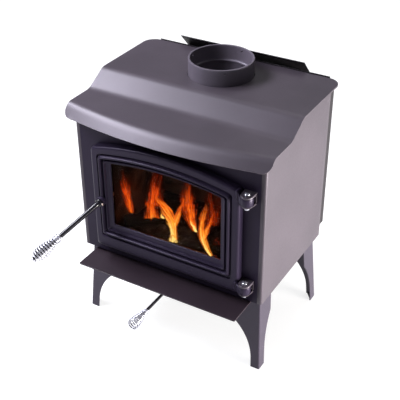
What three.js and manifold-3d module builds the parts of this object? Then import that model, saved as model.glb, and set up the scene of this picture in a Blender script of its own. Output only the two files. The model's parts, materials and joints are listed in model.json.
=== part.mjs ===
// A small free-standing wood burning stove on four splayed legs: welded firebox, cast door with glass,
// formed convection top, flue collar, rear air duct, ash lip and a sliding air control.
// Millimetres. +X is to the right of someone facing the door, +Y runs to the back, +Z is up.
// Parts are placed from the outer face of the front plate (y = 0) and the floor (z = 0); the finished
// stove is then moved along Y so that its origin is the centre of its footprint.
import * as THREE from "three";
import { mergeVertices } from "three/addons/utils/BufferGeometryUtils.js";
import Module from "manifold-3d";

const wasm = await Module();
wasm.setup();

// ---------------------------------------------------------------- driving dimensions
const gap = 0.3; // left between pieces that touch
const sheet = 2; // outer panels
const plate = 5; // firebox walls

const body = { halfWidth: 260, depth: 341, bottom: 211, fold: 12, foldRadius: 6 };
const shield = { front: 342.5, rear: 369, bottom: 240, upstand: 244, upstandTop: 659 };
const top = { halfWidth: 277, rear: shield.rear - sheet - gap, upper: 656, shelf: 621, sheet: 4 };
const bow = { radius: 1250, ends: 60 }; // the front of the top is bowed as far back as this
const bends = {
  riseTop: 146, riseFoot: 85, lip: -31, lipEdge: -55, lipEdgeZ: 594, radius: 40, lipRadius: 26,
};
const corner = { rear: 34, front: 32, frontDepth: 21 };
const flue = { y: 260.6, outer: 82, inner: 77, seat: 73, seatZ: 659, rimZ: 698.5, flange: 96, roofHole: 70 };
const flueWall = { seat: 4, flange: 6, screwHole: 2.6, screwDrop: 10, screwAngles: [-55, 77, 185] };
const box = { halfWidth: 230, front: 4.3, rear: 318, bottom: 210.3, roof: 606 };
const doorway = { outline: [185, 262, 526, 24], thick: 4 }; // the opening in the front plate
const airSlot = { halfWidth: 40, front: 26, rear: 44 }; // lets air up through the firebox floor

// Arched outlines are [half width, foot, crown, fall of the crown at the sides].
const door = { outline: [205, 240, 556, 29], front: -22, back: -2, bevel: 4, corner: 7 };
const opening = [153, 313, 504, 14]; // through the door, in front of the glass
const bead = { outer: [181, 284.5, 528, 19], inner: [167, 297.5, 513, 16.5], front: -27 };
const pocket = { outline: [166, 300, 516, 18], front: -10 }; // holds the glass
const pane = { front: -7.5, thick: 5, inset: 1.5 };
const seal = { front: -9.7, back: -7.8, inset: 1, cover: 1.5 }; // the gasket in front of the glass
const rope = { outer: [199.5, 246, 541, 27], inner: [186.5, 259, 528, 24], depth: -12, play: 0.6 };
const retainer = { back: 0.8, front: -1.7, screwInset: 10, screwHole: 2.4, screw: 2, head: 3.6 };
const retainers = {
  top: { z: [503.5, 517.5], screwZ: 513.8, halfWidth: 98 },
  bottom: { z: [284, 308], screwZ: 291, halfWidth: 110 },
};

const hinge = {
  x: 223, y: -20, radius: 15, pin: 4, play: 0.3, lug: 5, ear: 20, earTop: 519.2, lowerBy: 248.5,
};
const hingeArm = { from: 198, halfDepth: 11, clear: 0.4 }; // the door's arm, and its clearance in the clevis
const pinHead = { radius: 6.6, rim: 1.4, dome: 3.2 };
const nut = { radius: 9.2, collar: 2.2, barrel: 6.6, depth: 7.4, bore: 5.2 };

const latch = { x: -178, z: 383, shaft: 5, rod: 6.2, boss: 12, bossFront: -34, inner: 16.5, turnAt: -40 };
const cam = { front: 6, back: 11, halfWidth: 6, reach: 28, hub: 9 };
const latchNut = { front: 11.3, back: 17.5, radius: 9 };
const wearPlate = { x: [-214, -187], z: [390, 424], thick: 1.3 };
const grip = { tip: [-254, -216, 293], starts: 128, wire: 1.6, rodEnds: 14, turns: 10 };
const gripSwell = { slim: 8.8, fat: 14.6, end: 7.7, peak: 0.66 };

const leg = { x: 248.5, front: 18, rear: 330, top: 206.7, splayX: 12.2, splayY: 17, sheet: 3 };
const flange = {
  front: { foot: 24.5, top: 110, curve: 125, curveStart: 29 },
  side: { foot: 29, top: 60, curve: 180, curveStart: 43 },
};
const legPlates = { tab: 66, sole: 4 };
const base = { halfWidth: 250, front: 6, rear: 336, bottom: 207, top: 210 };
const lip = { halfWidth: 228, front: -76, rear: 14, top: 204, thick: 3, corner: 4 };

const chamber = { halfWidth: 55, front: 22, rear: 150, bottom: 150, top: leg.top };
const inlet = { halfWidth: 34, front: 100, rear: 140 };
const air = {
  rodZ: 164.5, radius: 4, rodEnd: 86, gripStart: -111, gripEnd: -174, wire: 1.4, rodEnds: 12, turns: 8,
};
const airSwell = { slim: 6.2, fat: 12.6, end: 6.2, peak: 0.8 };
const damper = { halfWidth: 42, front: 48, rear: 96, thick: 2.5, tab: 12, tabThick: 3.2, tabRise: 9 };

const brick = { thick: 32, tall: 228, front: 48 };
const manifold = { width: 22, front: 60, bottom: 516, top: 552 };
const tube = { z: 534, radius: 10, bore: 7.5, front: 95, pitch: 72, reach: 207 };
const jet = { count: 9, radius: 2.5, pitch: 42 };
const baffle = { front: 80, thick: 15.7 };
const airwash = {
  front: 7.3, rear: 36, top: 592, bend: 548, edgeY: 20, edgeZ: 532, thick: 3, halfWidth: 206,
};
const duct = { halfWidth: 177, back: 398, bottom: 300, top: 646, edgeY: 362, edgeZ: 684, cornerCut: 4 };
const past = 10; // how far a cutting shape runs past what it cuts

// ---------------------------------------------------------------- solids
function solid(geometry) {
  const bare = geometry.index ? geometry.toNonIndexed() : geometry.clone();
  bare.deleteAttribute("normal");
  bare.deleteAttribute("uv");
  const merged = mergeVertices(bare, 1e-3);
  const vertProperties = merged.attributes.position.array;
  const triVerts = new Uint32Array(merged.index.array);
  return new wasm.Manifold(new wasm.Mesh({ numProp: 3, vertProperties, triVerts }));
}

function geometryOf(made) {
  const mesh = made.getMesh();
  const geometry = new THREE.BufferGeometry();
  geometry.setAttribute("position", new THREE.BufferAttribute(new Float32Array(mesh.vertProperties), 3));
  geometry.setIndex(new THREE.BufferAttribute(new Uint32Array(mesh.triVerts), 1));
  return geometry;
}

const join = (first, ...rest) => rest.reduce((made, next) => made.add(next), first);
const cut = (first, ...rest) => rest.reduce((made, next) => made.subtract(next), first);

// A box between two values on each axis.
function block([x0, x1], [y0, y1], [z0, z1]) {
  const geometry = new THREE.BoxGeometry(x1 - x0, y1 - y0, z1 - z0);
  return solid(geometry.translate((x0 + x1) / 2, (y0 + y1) / 2, (z0 + z1) / 2));
}

// A shape extruded between two values of the axis named: "x" takes a shape drawn in (y, z), "y" one in
// (x, z) and "z" one in (x, y).
function prism(shape, axis, from, to, options = {}) {
  const settings = { depth: to - from, bevelEnabled: false, curveSegments: 6, ...options };
  const geometry = new THREE.ExtrudeGeometry(shape, settings);
  const turns = {
    x: new THREE.Matrix4().set(0, 0, 1, from, 1, 0, 0, 0, 0, 1, 0, 0, 0, 0, 0, 1),
    y: new THREE.Matrix4().set(1, 0, 0, 0, 0, 0, -1, to, 0, 1, 0, 0, 0, 0, 0, 1),
    z: new THREE.Matrix4().makeTranslation(0, 0, from),
  };
  return solid(geometry.applyMatrix4(turns[axis]));
}

// A round bar between two points.
function bar(radius, start, end, sides = 16) {
  const a = new THREE.Vector3(...start);
  const b = new THREE.Vector3(...end);
  const geometry = new THREE.CylinderGeometry(radius, radius, a.distanceTo(b), sides);
  const along = b.clone().sub(a).normalize();
  const turn = new THREE.Quaternion().setFromUnitVectors(new THREE.Vector3(0, 1, 0), along);
  geometry.applyQuaternion(turn);
  const middle = a.add(b).multiplyScalar(0.5);
  return solid(geometry.translate(middle.x, middle.y, middle.z));
}

// A profile of [radius, z] pairs turned about the vertical axis through (x, y).
function turned(profile, x, y, sides) {
  const points = profile.map(([r, z]) => new THREE.Vector2(r, z));
  const geometry = new THREE.LatheGeometry([...points, points[0].clone()], sides);
  return solid(geometry.rotateX(Math.PI / 2).translate(x, y, 0));
}

// A round section swept along a curve, closed at both ends.
function swept(curve, radius, steps, sides) {
  const section = new THREE.Shape();
  section.absarc(0, 0, radius, 0, Math.PI * 2);
  const settings = { steps, extrudePath: curve, curveSegments: sides / 2, bevelEnabled: false };
  return solid(new THREE.ExtrudeGeometry(section, settings));
}

// ---------------------------------------------------------------- shapes
const point = (a, b) => new THREE.Vector2(a, b);

// A line through [a, b, radius] corners, each corner rounded to about its radius.
function bentLine(corners) {
  const path = new THREE.Path();
  path.moveTo(corners[0][0], corners[0][1]);
  for (let i = 1; i < corners.length - 1; i++) {
    const here = point(corners[i][0], corners[i][1]);
    const back = point(corners[i - 1][0], corners[i - 1][1]).sub(here).normalize();
    const on = point(corners[i + 1][0], corners[i + 1][1]).sub(here).normalize();
    const reach = corners[i][2] * Math.tan((Math.PI - Math.acos(back.dot(on))) / 2);
    const start = here.clone().addScaledVector(back, reach);
    const end = here.clone().addScaledVector(on, reach);
    path.lineTo(start.x, start.y);
    path.quadraticCurveTo(here.x, here.y, end.x, end.y);
  }
  const last = corners[corners.length - 1];
  path.lineTo(last[0], last[1]);
  return path.getPoints(4);
}

// Every point of a line moved to its left by a distance.
function offset(points, distance) {
  return points.map((here, i) => {
    const before = points[Math.max(i - 1, 0)];
    const after = points[Math.min(i + 1, points.length - 1)];
    const along = after.clone().sub(before).normalize();
    return point(here.x - along.y * distance, here.y + along.x * distance);
  });
}

// A doorway outline in (x, z): straight sides and foot, and an arched head that falls by drop at the sides.
function arched(halfWidth, bottom, arch, drop, round = 6) {
  const radius = (halfWidth ** 2 + drop ** 2) / (2 * drop);
  const side = arch - drop;
  const start = Math.acos((halfWidth - round) / radius);
  const shape = new THREE.Shape();
  shape.moveTo(-halfWidth + round, bottom);
  shape.lineTo(halfWidth - round, bottom);
  shape.quadraticCurveTo(halfWidth, bottom, halfWidth, bottom + round);
  shape.lineTo(halfWidth, side - round);
  const arcStart = arch - radius + radius * Math.sin(start);
  shape.quadraticCurveTo(halfWidth, side, halfWidth - round, arcStart);
  shape.absarc(0, arch - radius, radius, start, Math.PI - start);
  shape.quadraticCurveTo(-halfWidth, side, -halfWidth, side - round);
  shape.lineTo(-halfWidth, bottom + round);
  shape.quadraticCurveTo(-halfWidth, bottom, -halfWidth + round, bottom);
  return shape;
}

// A ring between two arched outlines.
function archedRing(outer, inner, from, to) {
  return cut(prism(arched(...outer), "y", from, to), prism(arched(...inner), "y", from - past, to + past));
}

// An arched outline brought in all round by a distance.
const inset = ([halfWidth, foot, crown, fall], by) => [halfWidth - by, foot + by, crown - by, fall];

// ---------------------------------------------------------------- convection top
// The front of the top is bowed: this is how far a point at x lies behind the middle of the bow.
const bowAt = (x) => bow.radius - Math.sqrt(bow.radius ** 2 - x ** 2);

// The top's upper surface, seen from the side, from the lip's edge to the back, in (y, z).
const topLine = bentLine([
  [bends.lipEdge, bends.lipEdgeZ],
  [bends.lip, top.shelf, bends.lipRadius],
  [bends.riseFoot, top.shelf, bends.radius],
  [bends.riseTop, top.upper, bends.radius],
  [top.rear, top.upper],
]);

// Bows the part of an extruded profile that lies in front of the rise.
function bowed(shape, halfWidth) {
  const settings = { depth: halfWidth * 2, steps: 14, bevelEnabled: false };
  const geometry = new THREE.ExtrudeGeometry(shape, settings);
  geometry.applyMatrix4(
    new THREE.Matrix4().set(0, 0, 1, -halfWidth, 1, 0, 0, 0, 0, 1, 0, 0, 0, 0, 0, 1),
  );
  const at = geometry.attributes.position;
  for (let i = 0; i < at.count; i++) {
    const share = THREE.MathUtils.clamp((bow.ends - at.getY(i)) / bow.ends, 0, 1);
    at.setY(i, at.getY(i) + share * bowAt(at.getX(i)));
  }
  return solid(geometry);
}

// All the space above the underside of the top, less a gap: cut from what stands under it.
function spaceAboveUnderside() {
  const under = offset(topLine, -(top.sheet + gap));
  const front = bends.lipEdge * 2;
  const rear = top.rear * 2;
  const high = top.upper * 2;
  const underRear = point(rear, under[under.length - 1].y);
  const outline = [point(front, under[0].y), ...under, underRear, point(rear, high), point(front, high)];
  return bowed(new THREE.Shape(outline), body.halfWidth + past);
}

function topPlate() {
  const profile = new THREE.Shape([...topLine, ...offset(topLine, -top.sheet).reverse()]);
  const w = top.halfWidth;
  const frontX = w - corner.front;
  const frontY = bends.lipEdge + bowAt(frontX) + corner.frontDepth;
  const round = [corner.front, corner.frontDepth];
  const plan = new THREE.Shape();
  plan.moveTo(-frontX, bends.lipEdge - past);
  plan.lineTo(frontX, bends.lipEdge - past);
  plan.lineTo(frontX, frontY - corner.frontDepth);
  plan.absellipse(frontX, frontY, ...round, -Math.PI / 2, 0);
  plan.lineTo(w, top.rear - corner.rear);
  plan.absarc(w - corner.rear, top.rear - corner.rear, corner.rear, 0, Math.PI / 2);
  plan.absarc(corner.rear - w, top.rear - corner.rear, corner.rear, Math.PI / 2, Math.PI);
  plan.lineTo(-w, frontY);
  plan.absellipse(-frontX, frontY, ...round, Math.PI, Math.PI * 1.5);
  const blank = bowed(profile, w).intersect(prism(plan, "z", bends.lipEdgeZ - past, top.upper + past));
  const flueHole = { radius: flue.outer + 1.5, from: top.upper - past, to: top.upper + past };
  return cut(blank, bar(flueHole.radius, [0, flue.y, flueHole.from], [0, flue.y, flueHole.to], 36));
}

// ---------------------------------------------------------------- outer panels
// A side panel is folded round the front corner, where it meets the front plate edge to edge.
function sidePanel(side) {
  const w = body.halfWidth;
  const line = bentLine([[w - body.fold, 0], [w, 0, body.foldRadius], [w, body.depth]]);
  const outline = [...line, ...offset(line, sheet).reverse()].map((at) => point(at.x * side, at.y));
  if (side < 0) outline.reverse();
  return cut(prism(new THREE.Shape(outline), "z", body.bottom, top.upper), spaceAboveUnderside());
}

function frontPlate() {
  const w = body.halfWidth - body.fold - gap;
  const blank = cut(block([-w, w], [0, doorway.thick], [body.bottom, top.upper]), spaceAboveUnderside());
  return cut(blank, prism(arched(...doorway.outline), "y", -past, past));
}

// A channel across the back, with an upstand behind the rear edge of the top.
function rearHeatShield() {
  const w = body.halfWidth - sheet;
  const inner = shield.rear - sheet;
  const section = new THREE.Shape([
    point(-w, shield.front),
    point(-w + sheet, shield.front),
    point(-w + sheet, inner),
    point(w - sheet, inner),
    point(w - sheet, shield.front),
    point(w, shield.front),
    point(w, shield.rear),
    point(-w, shield.rear),
  ]);
  const high = top.upper - top.sheet - gap;
  const channel = prism(section, "z", shield.bottom, high);
  const upstandZ = [high - sheet, shield.upstandTop];
  const upstand = block([-shield.upstand, shield.upstand], [inner, shield.rear], upstandZ);
  return join(channel, upstand);
}

// A channel over the back of the shield whose top is bent forwards over the stove as a deflector.
function rearAirDuct() {
  const w = duct.halfWidth;
  const line = [point(duct.back, duct.bottom), point(duct.back, duct.top), point(duct.edgeY, duct.edgeZ)];
  const cover = prism(new THREE.Shape([...line, ...offset(line, sheet).reverse()]), "x", -w, w);
  const wallY = [shield.rear + gap, duct.back - sheet / 2];
  const wallZ = [duct.bottom, duct.top - duct.cornerCut];
  const walls = [-w, w - sheet].map((x) => block([x, x + sheet], wallY, wallZ));
  return join(cover, ...walls);
}

function flueCollar() {
  const foot = box.roof + gap;
  const profile = [
    [flue.seat, flue.seatZ],
    [flue.seat, flue.seatZ - flueWall.seat],
    [flue.inner, flue.seatZ - flueWall.seat],
    [flue.inner, foot],
    [flue.flange, foot],
    [flue.flange, foot + flueWall.flange],
    [flue.outer, foot + flueWall.flange],
    [flue.outer, flue.rimZ],
    [flue.inner, flue.rimZ],
    [flue.inner, flue.seatZ],
  ];
  const holes = flueWall.screwAngles.map((degrees) => {
    const a = THREE.MathUtils.degToRad(degrees);
    const at = (r) => [r * Math.cos(a), flue.y + r * Math.sin(a), flue.rimZ - flueWall.screwDrop];
    return bar(flueWall.screwHole, at(flue.inner - past), at(flue.outer + past), 8);
  });
  return cut(turned(profile, 0, flue.y, 36), ...holes);
}

// ---------------------------------------------------------------- firebox
function firebox() {
  const w = box.halfWidth;
  const shell = block([-w, w], [box.front, box.rear], [box.bottom, box.roof]);
  const inside = block(
    [plate - w, w - plate],
    [box.front - past, box.rear - plate],
    [box.bottom + plate, box.roof - plate],
  );
  const flueHole = bar(flue.roofHole, [0, flue.y, box.roof - past], [0, flue.y, box.roof + past], 24);
  return cut(shell, inside, flueHole, airSlotHole());
}

function airSlotHole() {
  const z = [base.bottom - past, base.top + past];
  return block([-airSlot.halfWidth, airSlot.halfWidth], [airSlot.front, airSlot.rear], z);
}

const floorTop = box.bottom + plate + gap;
const brickTop = floorTop + brick.thick;
const wallInner = box.halfWidth - plate - gap - brick.thick;
const rearFace = box.rear - plate - gap - brick.thick;

// Bricks are laid in a row between two limits, with a joint of one gap between each pair.
function row(count, from, to) {
  const pitch = (to - from) / count;
  const start = (i) => from + i * pitch;
  return Array.from({ length: count }, (_, i) => [start(i) + gap / 2, start(i + 1) - gap / 2]);
}
const floorBricks = () =>
  row(4, -wallInner - brick.thick, wallInner + brick.thick).map((x) =>
    block(x, [brick.front, box.rear - plate - gap], [floorTop, brickTop]),
  );

const rearBricks = () =>
  row(3, -wallInner, wallInner).map((x) =>
    block(x, [rearFace, rearFace + brick.thick], [brickTop + gap, brickTop + brick.tall]),
  );

const sideBricks = (side) =>
  row(2, brick.front, box.rear - plate - gap).map((y) => {
    const x = [wallInner + gap, wallInner + brick.thick].map((v) => v * side).sort((a, b) => a - b);
    return block(x, y, [brickTop + gap, brickTop + brick.tall]);
  });

// A channel down each side of the firebox feeds the air tubes, which rest in round holes in it.
function airManifold(side) {
  const outer = box.halfWidth - plate - gap;
  const inner = outer - manifold.width;
  const rear = rearFace + manifold.width;
  const mirrored = (...x) => x.map((v) => v * side).sort((a, b) => a - b);
  const shell = block(mirrored(inner, outer), [manifold.front, rear], [manifold.bottom, manifold.top]);
  const hollow = block(
    mirrored(inner + sheet, outer - sheet),
    [manifold.front - past, rear - sheet],
    [manifold.bottom + sheet, manifold.top - sheet],
  );
  const holes = [0, 1, 2].map((i) => {
    const y = tube.front + i * tube.pitch;
    const wall = [inner - sheet, inner + sheet * 2].map((x) => [x * side, y, tube.z]);
    return bar(tube.radius + gap, ...wall, 12);
  });
  return cut(shell, hollow, ...holes);
}

// A tube with a row of holes facing forwards and down, through which the hot air burns the smoke.
function airTube(i) {
  const y = tube.front + i * tube.pitch;
  const outside = bar(tube.radius, [-tube.reach, y, tube.z], [tube.reach, y, tube.z], 12);
  const bore = bar(tube.bore, [-tube.reach - past, y, tube.z], [tube.reach + past, y, tube.z], 12);
  const jets = Array.from({ length: jet.count }, (_, n) => {
    const x = (n - (jet.count - 1) / 2) * jet.pitch;
    return bar(jet.radius, [x, y, tube.z], [x, y - past, tube.z - past], 6);
  });
  return cut(outside, bore, ...jets);
}

const baffleBoard = (side) => {
  const x = [gap / 2, box.halfWidth - plate - gap].map((v) => v * side).sort((a, b) => a - b);
  const low = manifold.top + gap;
  return block(x, [baffle.front, box.rear - plate - gap], [low, low + baffle.thick]);
};

// A bent plate over the door opening that turns preheated air down across the glass.
function airwashPlate() {
  const { front, rear, top: high, bend, edgeY, edgeZ } = airwash;
  const line = [point(front, high), point(rear, high), point(rear, bend), point(edgeY, edgeZ)];
  const shape = new THREE.Shape([...line, ...offset(line, airwash.thick).reverse()]);
  return prism(shape, "x", -airwash.halfWidth, airwash.halfWidth);
}

// ---------------------------------------------------------------- base
function basePlate() {
  const w = base.halfWidth;
  return cut(block([-w, w], [base.front, base.rear], [base.bottom, base.top]), airSlotHole());
}

// One flange of a leg in (distance from the crease, z): narrow at the floor, swept out to the top.
function flangeShape({ foot, top: widest, curve, curveStart }) {
  const angle = Math.acos(1 - (widest - foot) / curve);
  const shape = new THREE.Shape();
  shape.moveTo(0, 0);
  shape.lineTo(foot, 0);
  shape.lineTo(foot, curveStart);
  shape.absarc(foot + curve, curveStart, curve, Math.PI, Math.PI - angle, true);
  shape.lineTo(widest, leg.top);
  shape.lineTo(0, leg.top);
  return shape;
}

// A leg folded from sheet, with a welded tab under the base plate and a small foot plate. It is made
// upright for the front right corner, then leant outwards and mirrored to its own corner.
function stoveLeg(sideX, sideY) {
  const t = leg.sheet;
  const front = prism(flangeShape(flange.front), "y", 0, t);
  const side = prism(flangeShape(flange.side), "x", -t, 0);
  const mirrored = front.transform([-1, 0, 0, 0, 0, 1, 0, 0, 0, 0, 1, 0, 0, 0, 0, 1]);
  const tab = new THREE.Shape([point(0, 0), point(-legPlates.tab, 0), point(0, legPlates.tab)]);
  const sole = new THREE.Shape([point(0, 0), point(-flange.front.foot, 0), point(0, flange.side.foot)]);
  const upright = join(
    mirrored,
    side,
    prism(reversed(tab), "z", leg.top - t, leg.top),
    prism(reversed(sole), "z", 0, legPlates.sole),
  );
  const lean = new THREE.Matrix4();
  lean.set(
    1, 0, -leg.splayX / leg.top, leg.splayX,
    0, 1, leg.splayY / leg.top, -leg.splayY,
    0, 0, 1, 0,
    0, 0, 0, 1,
  );
  const y = sideY < 0 ? leg.front : -leg.rear;
  const place = new THREE.Matrix4().makeTranslation(leg.x, y, 0);
  const mirror = new THREE.Matrix4().makeScale(sideX, -sideY, 1);
  return upright.transform(mirror.multiply(place).multiply(lean).elements);
}

// The same outline drawn the other way round.
const reversed = (shape) => new THREE.Shape(shape.getPoints().reverse());

function ashLip() {
  const w = lip.halfWidth;
  const r = lip.corner;
  const plan = new THREE.Shape();
  plan.moveTo(-w, lip.rear);
  plan.lineTo(-w, lip.front + r);
  plan.absarc(-w + r, lip.front + r, r, Math.PI, Math.PI * 1.5);
  plan.absarc(w - r, lip.front + r, r, Math.PI * 1.5, Math.PI * 2);
  plan.lineTo(w, lip.rear);
  const shelf = prism(plan, "z", lip.top - lip.thick, lip.top);
  const upstand = block([-w, w], [lip.rear - lip.thick, lip.rear], [lip.top - lip.thick, base.bottom - gap]);
  return join(shelf, upstand);
}

// The box under the floor that takes in room air through a slot in its own floor.
function airInletBox() {
  const w = chamber.halfWidth;
  const shell = block([-w, w], [chamber.front, chamber.rear], [chamber.bottom, chamber.top]);
  const inside = block(
    [sheet - w, w - sheet],
    [chamber.front + sheet, chamber.rear - sheet],
    [chamber.bottom + sheet, chamber.top + past],
  );
  const slotZ = [chamber.bottom - past, chamber.bottom + past];
  const slot = block([-inlet.halfWidth, inlet.halfWidth], [inlet.front, inlet.rear], slotZ);
  const [before, beyond] = [chamber.front - past, chamber.front + past];
  const rodHole = bar(air.radius + gap * 2, [0, before, air.rodZ], [0, beyond, air.rodZ], 12);
  return cut(shell, inside, slot, rodHole);
}

// ---------------------------------------------------------------- air control
const airControlRod = () =>
  bar(air.radius, [0, air.gripEnd + air.rodEnds, air.rodZ], [0, air.rodEnd, air.rodZ], 12);

// A plate that slides over the inlet slot, with an upright tab on the end of the rod.
function airDamper() {
  const floor = chamber.bottom + sheet + gap;
  const w = damper.halfWidth;
  const flat = block([-w, w], [damper.front, damper.rear], [floor, floor + damper.thick]);
  const tabY = [air.rodEnd + gap, air.rodEnd + gap + damper.tabThick];
  const tab = block([-damper.tab, damper.tab], tabY, [floor, air.rodZ + damper.tabRise]);
  return join(flat, tab);
}

// ---------------------------------------------------------------- wire grips
// A helix of wire about the line from start along the direction, its radius set by a function of 0 to 1.
class WireCoil extends THREE.Curve {
  constructor(start, direction, length, turns, radiusAt) {
    super();
    this.start = start;
    this.along = direction.clone().normalize();
    this.across = new THREE.Vector3(0, 0, 1).cross(this.along).normalize();
    this.third = this.along.clone().cross(this.across);
    Object.assign(this, { length: length, turns: turns, radiusAt: radiusAt });
  }

  getPoint(t) {
    const angle = t * this.turns * Math.PI * 2;
    const r = this.radiusAt(t);
    return this.start
      .clone()
      .addScaledVector(this.along, this.length * t)
      .addScaledVector(this.across, r * Math.cos(angle))
      .addScaledVector(this.third, r * Math.sin(angle));
  }
}

// A grip is slim where it screws on the rod, swells, and closes again at its end.
const swell = ({ slim, fat, end, peak }) => (t) => {
  const rise = Math.sin((Math.min(t / peak, 1) * Math.PI) / 2) ** 1.4;
  const fall = t > peak ? Math.sin((((t - peak) / (1 - peak)) * Math.PI) / 2) ** 2 : 0;
  return slim + (fat - slim) * rise - (fat - end) * fall;
};

const handleStart = new THREE.Vector3(latch.x, latch.turnAt, latch.z);
const handleTip = new THREE.Vector3(...grip.tip);
const handleLine = handleTip.clone().sub(handleStart);

function handleGrip() {
  const along = handleLine.clone().normalize();
  const start = handleStart.clone().addScaledVector(along, grip.starts);
  const length = handleLine.length() - grip.starts;
  const coil = new WireCoil(start, along, length, grip.turns, swell(gripSwell));
  return swept(coil, grip.wire, grip.turns * 8, 6);
}

function airControlGrip() {
  const start = new THREE.Vector3(0, air.gripStart, air.rodZ);
  const length = air.gripStart - air.gripEnd;
  const coil = new WireCoil(start, new THREE.Vector3(0, -1, 0), length, air.turns, swell(airSwell));
  return swept(coil, air.wire, air.turns * 8, 6);
}

// ---------------------------------------------------------------- door
function doorFrame() {
  const { bevel, front, back } = door;
  const cast = prism(arched(...inset(door.outline, bevel), door.corner), "y", front + bevel, back + bevel, {
    bevelEnabled: true,
    bevelThickness: bevel,
    bevelSize: bevel,
    bevelSegments: 1,
  });
  const [w, foot, crown] = door.outline;
  const infront = block([-w - past, w + past], [front - past, back], [foot - past, crown + past]);
  const slab = cast.intersect(infront);
  const moulding = archedRing(bead.outer, bead.inner, bead.front, front + gap);
  const boss = bar(latch.boss, [latch.x, latch.bossFront, latch.z], [latch.x, front + gap, latch.z], 20);
  const ears = [0, hinge.lowerBy].map((down) => {
    const z = [hinge.earTop - hinge.ear - down, hinge.earTop - down];
    const armY = [hinge.y - hingeArm.halfDepth, hinge.y + hingeArm.halfDepth];
    const arm = block([hingeArm.from, hinge.x], armY, z);
    const knuckle = bar(hinge.radius, [hinge.x, hinge.y, z[0]], [hinge.x, hinge.y, z[1]], 20);
    return join(arm, knuckle);
  });
  const pinHole = bar(hinge.pin + hinge.play, [hinge.x, hinge.y, foot], [hinge.x, hinge.y, crown], 12);
  const shaftRadius = latch.shaft + hingeArm.clear;
  const shaftHole = bar(shaftRadius, [latch.x, latch.turnAt, latch.z], [latch.x, past, latch.z], 12);
  const window = prism(arched(...opening), "y", latch.turnAt, past);
  const recess = prism(arched(...pocket.outline), "y", pocket.front, past);
  const ropeChannel = archedRing(rope.outer, rope.inner, rope.depth, past);
  return cut(join(slab, moulding, boss, ...ears), pinHole, shaftHole, window, recess, ropeChannel);
}

const doorGlass = () =>
  prism(arched(...inset(pocket.outline, pane.inset)), "y", pane.front, pane.front + pane.thick);
const glassGasket = () =>
  archedRing(inset(pocket.outline, seal.inset), inset(opening, -seal.cover), seal.front, seal.back);
const doorGasket = () =>
  archedRing(inset(rope.outer, rope.play), inset(rope.inner, -rope.play), rope.depth + gap, -gap);

function glassRetainer({ z, screwZ, halfWidth }) {
  const holes = [-1, 1].map((side) => {
    const x = side * (halfWidth - retainer.screwInset);
    return bar(retainer.screwHole, [x, -past, screwZ], [x, past, screwZ], 8);
  });
  return cut(block([-halfWidth, halfWidth], [retainer.front, retainer.back], z), ...holes);
}

// A round-headed screw through a retainer; the door casting is tapped for it.
function retainerScrew(side, { screwZ, halfWidth }) {
  const x = side * (halfWidth - retainer.screwInset);
  const seat = retainer.back + gap;
  const profile = [[0, seat], [retainer.head, seat], [retainer.head * 0.7, seat + 2], [0, seat + 2.5]];
  const points = profile.map(([r, y]) => new THREE.Vector2(r, y));
  const head = solid(new THREE.LatheGeometry(points, 10).translate(x, 0, screwZ));
  return join(head, bar(retainer.screw, [x, retainer.front, screwZ], [x, seat + gap, screwZ], 8));
}

// ---------------------------------------------------------------- hinges
const lugTop = hinge.earTop + hingeArm.clear + hinge.lug;
const lugFoot = hinge.earTop - hinge.ear - hingeArm.clear - hinge.lug;

// A clevis on the front plate: two lugs joined by a web, with the door's ear between them.
function hingeBracket(down) {
  const plan = new THREE.Shape();
  plan.moveTo(hinge.x + hinge.radius, -gap);
  plan.lineTo(hinge.x - hinge.radius, -gap);
  plan.lineTo(hinge.x - hinge.radius, hinge.y);
  plan.absarc(hinge.x, hinge.y, hinge.radius, Math.PI, Math.PI * 2);
  const blank = prism(plan, "z", lugFoot - down, lugTop - down);
  const jaw = block(
    [hinge.x - hinge.radius - past, hinge.x + hinge.radius + past],
    [hinge.y - hinge.radius - past, hinge.y + hinge.radius + 1],
    [lugFoot + hinge.lug - down, lugTop - hinge.lug - down],
  );
  const ends = [lugFoot - down - past, lugTop - down + past].map((z) => [hinge.x, hinge.y, z]);
  const hole = bar(hinge.pin + hinge.play, ...ends, 12);
  return cut(blank, jaw, hole);
}

// A pin with a low domed head above the clevis and its lower end in a collared nut.
function hingePin(down) {
  const head = lugTop + gap - down;
  const foot = lugFoot - nut.bore + gap - down;
  const shoulder = head + pinHead.rim;
  const profile = [[0, foot], [hinge.pin, foot], [hinge.pin, head]];
  profile.push([pinHead.radius, head], [pinHead.radius, shoulder]);
  for (const turn of [Math.PI / 6, Math.PI / 3]) {
    profile.push([pinHead.radius * Math.cos(turn), shoulder + pinHead.dome * Math.sin(turn)]);
  }
  profile.push([0, shoulder + pinHead.dome]);
  const points = profile.map(([a, z]) => new THREE.Vector2(a, z));
  const geometry = new THREE.LatheGeometry(points, 14);
  return solid(geometry.rotateX(Math.PI / 2).translate(hinge.x, hinge.y, 0));
}

function hingeNut(down) {
  const seat = lugFoot - gap - down;
  const r = hinge.pin + gap;
  const collar = seat - nut.collar;
  const profile = [
    [r, seat],
    [r, seat - nut.bore],
    [0, seat - nut.bore],
    [0, seat - nut.depth],
    [nut.barrel, seat - nut.depth],
    [nut.barrel, collar],
    [nut.radius, collar],
    [nut.radius, seat],
  ];
  const points = profile.map(([a, z]) => new THREE.Vector2(a, z));
  const geometry = new THREE.LatheGeometry([...points, points[0].clone()], 14);
  return solid(geometry.rotateX(Math.PI / 2).translate(hinge.x, hinge.y, 0));
}

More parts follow.
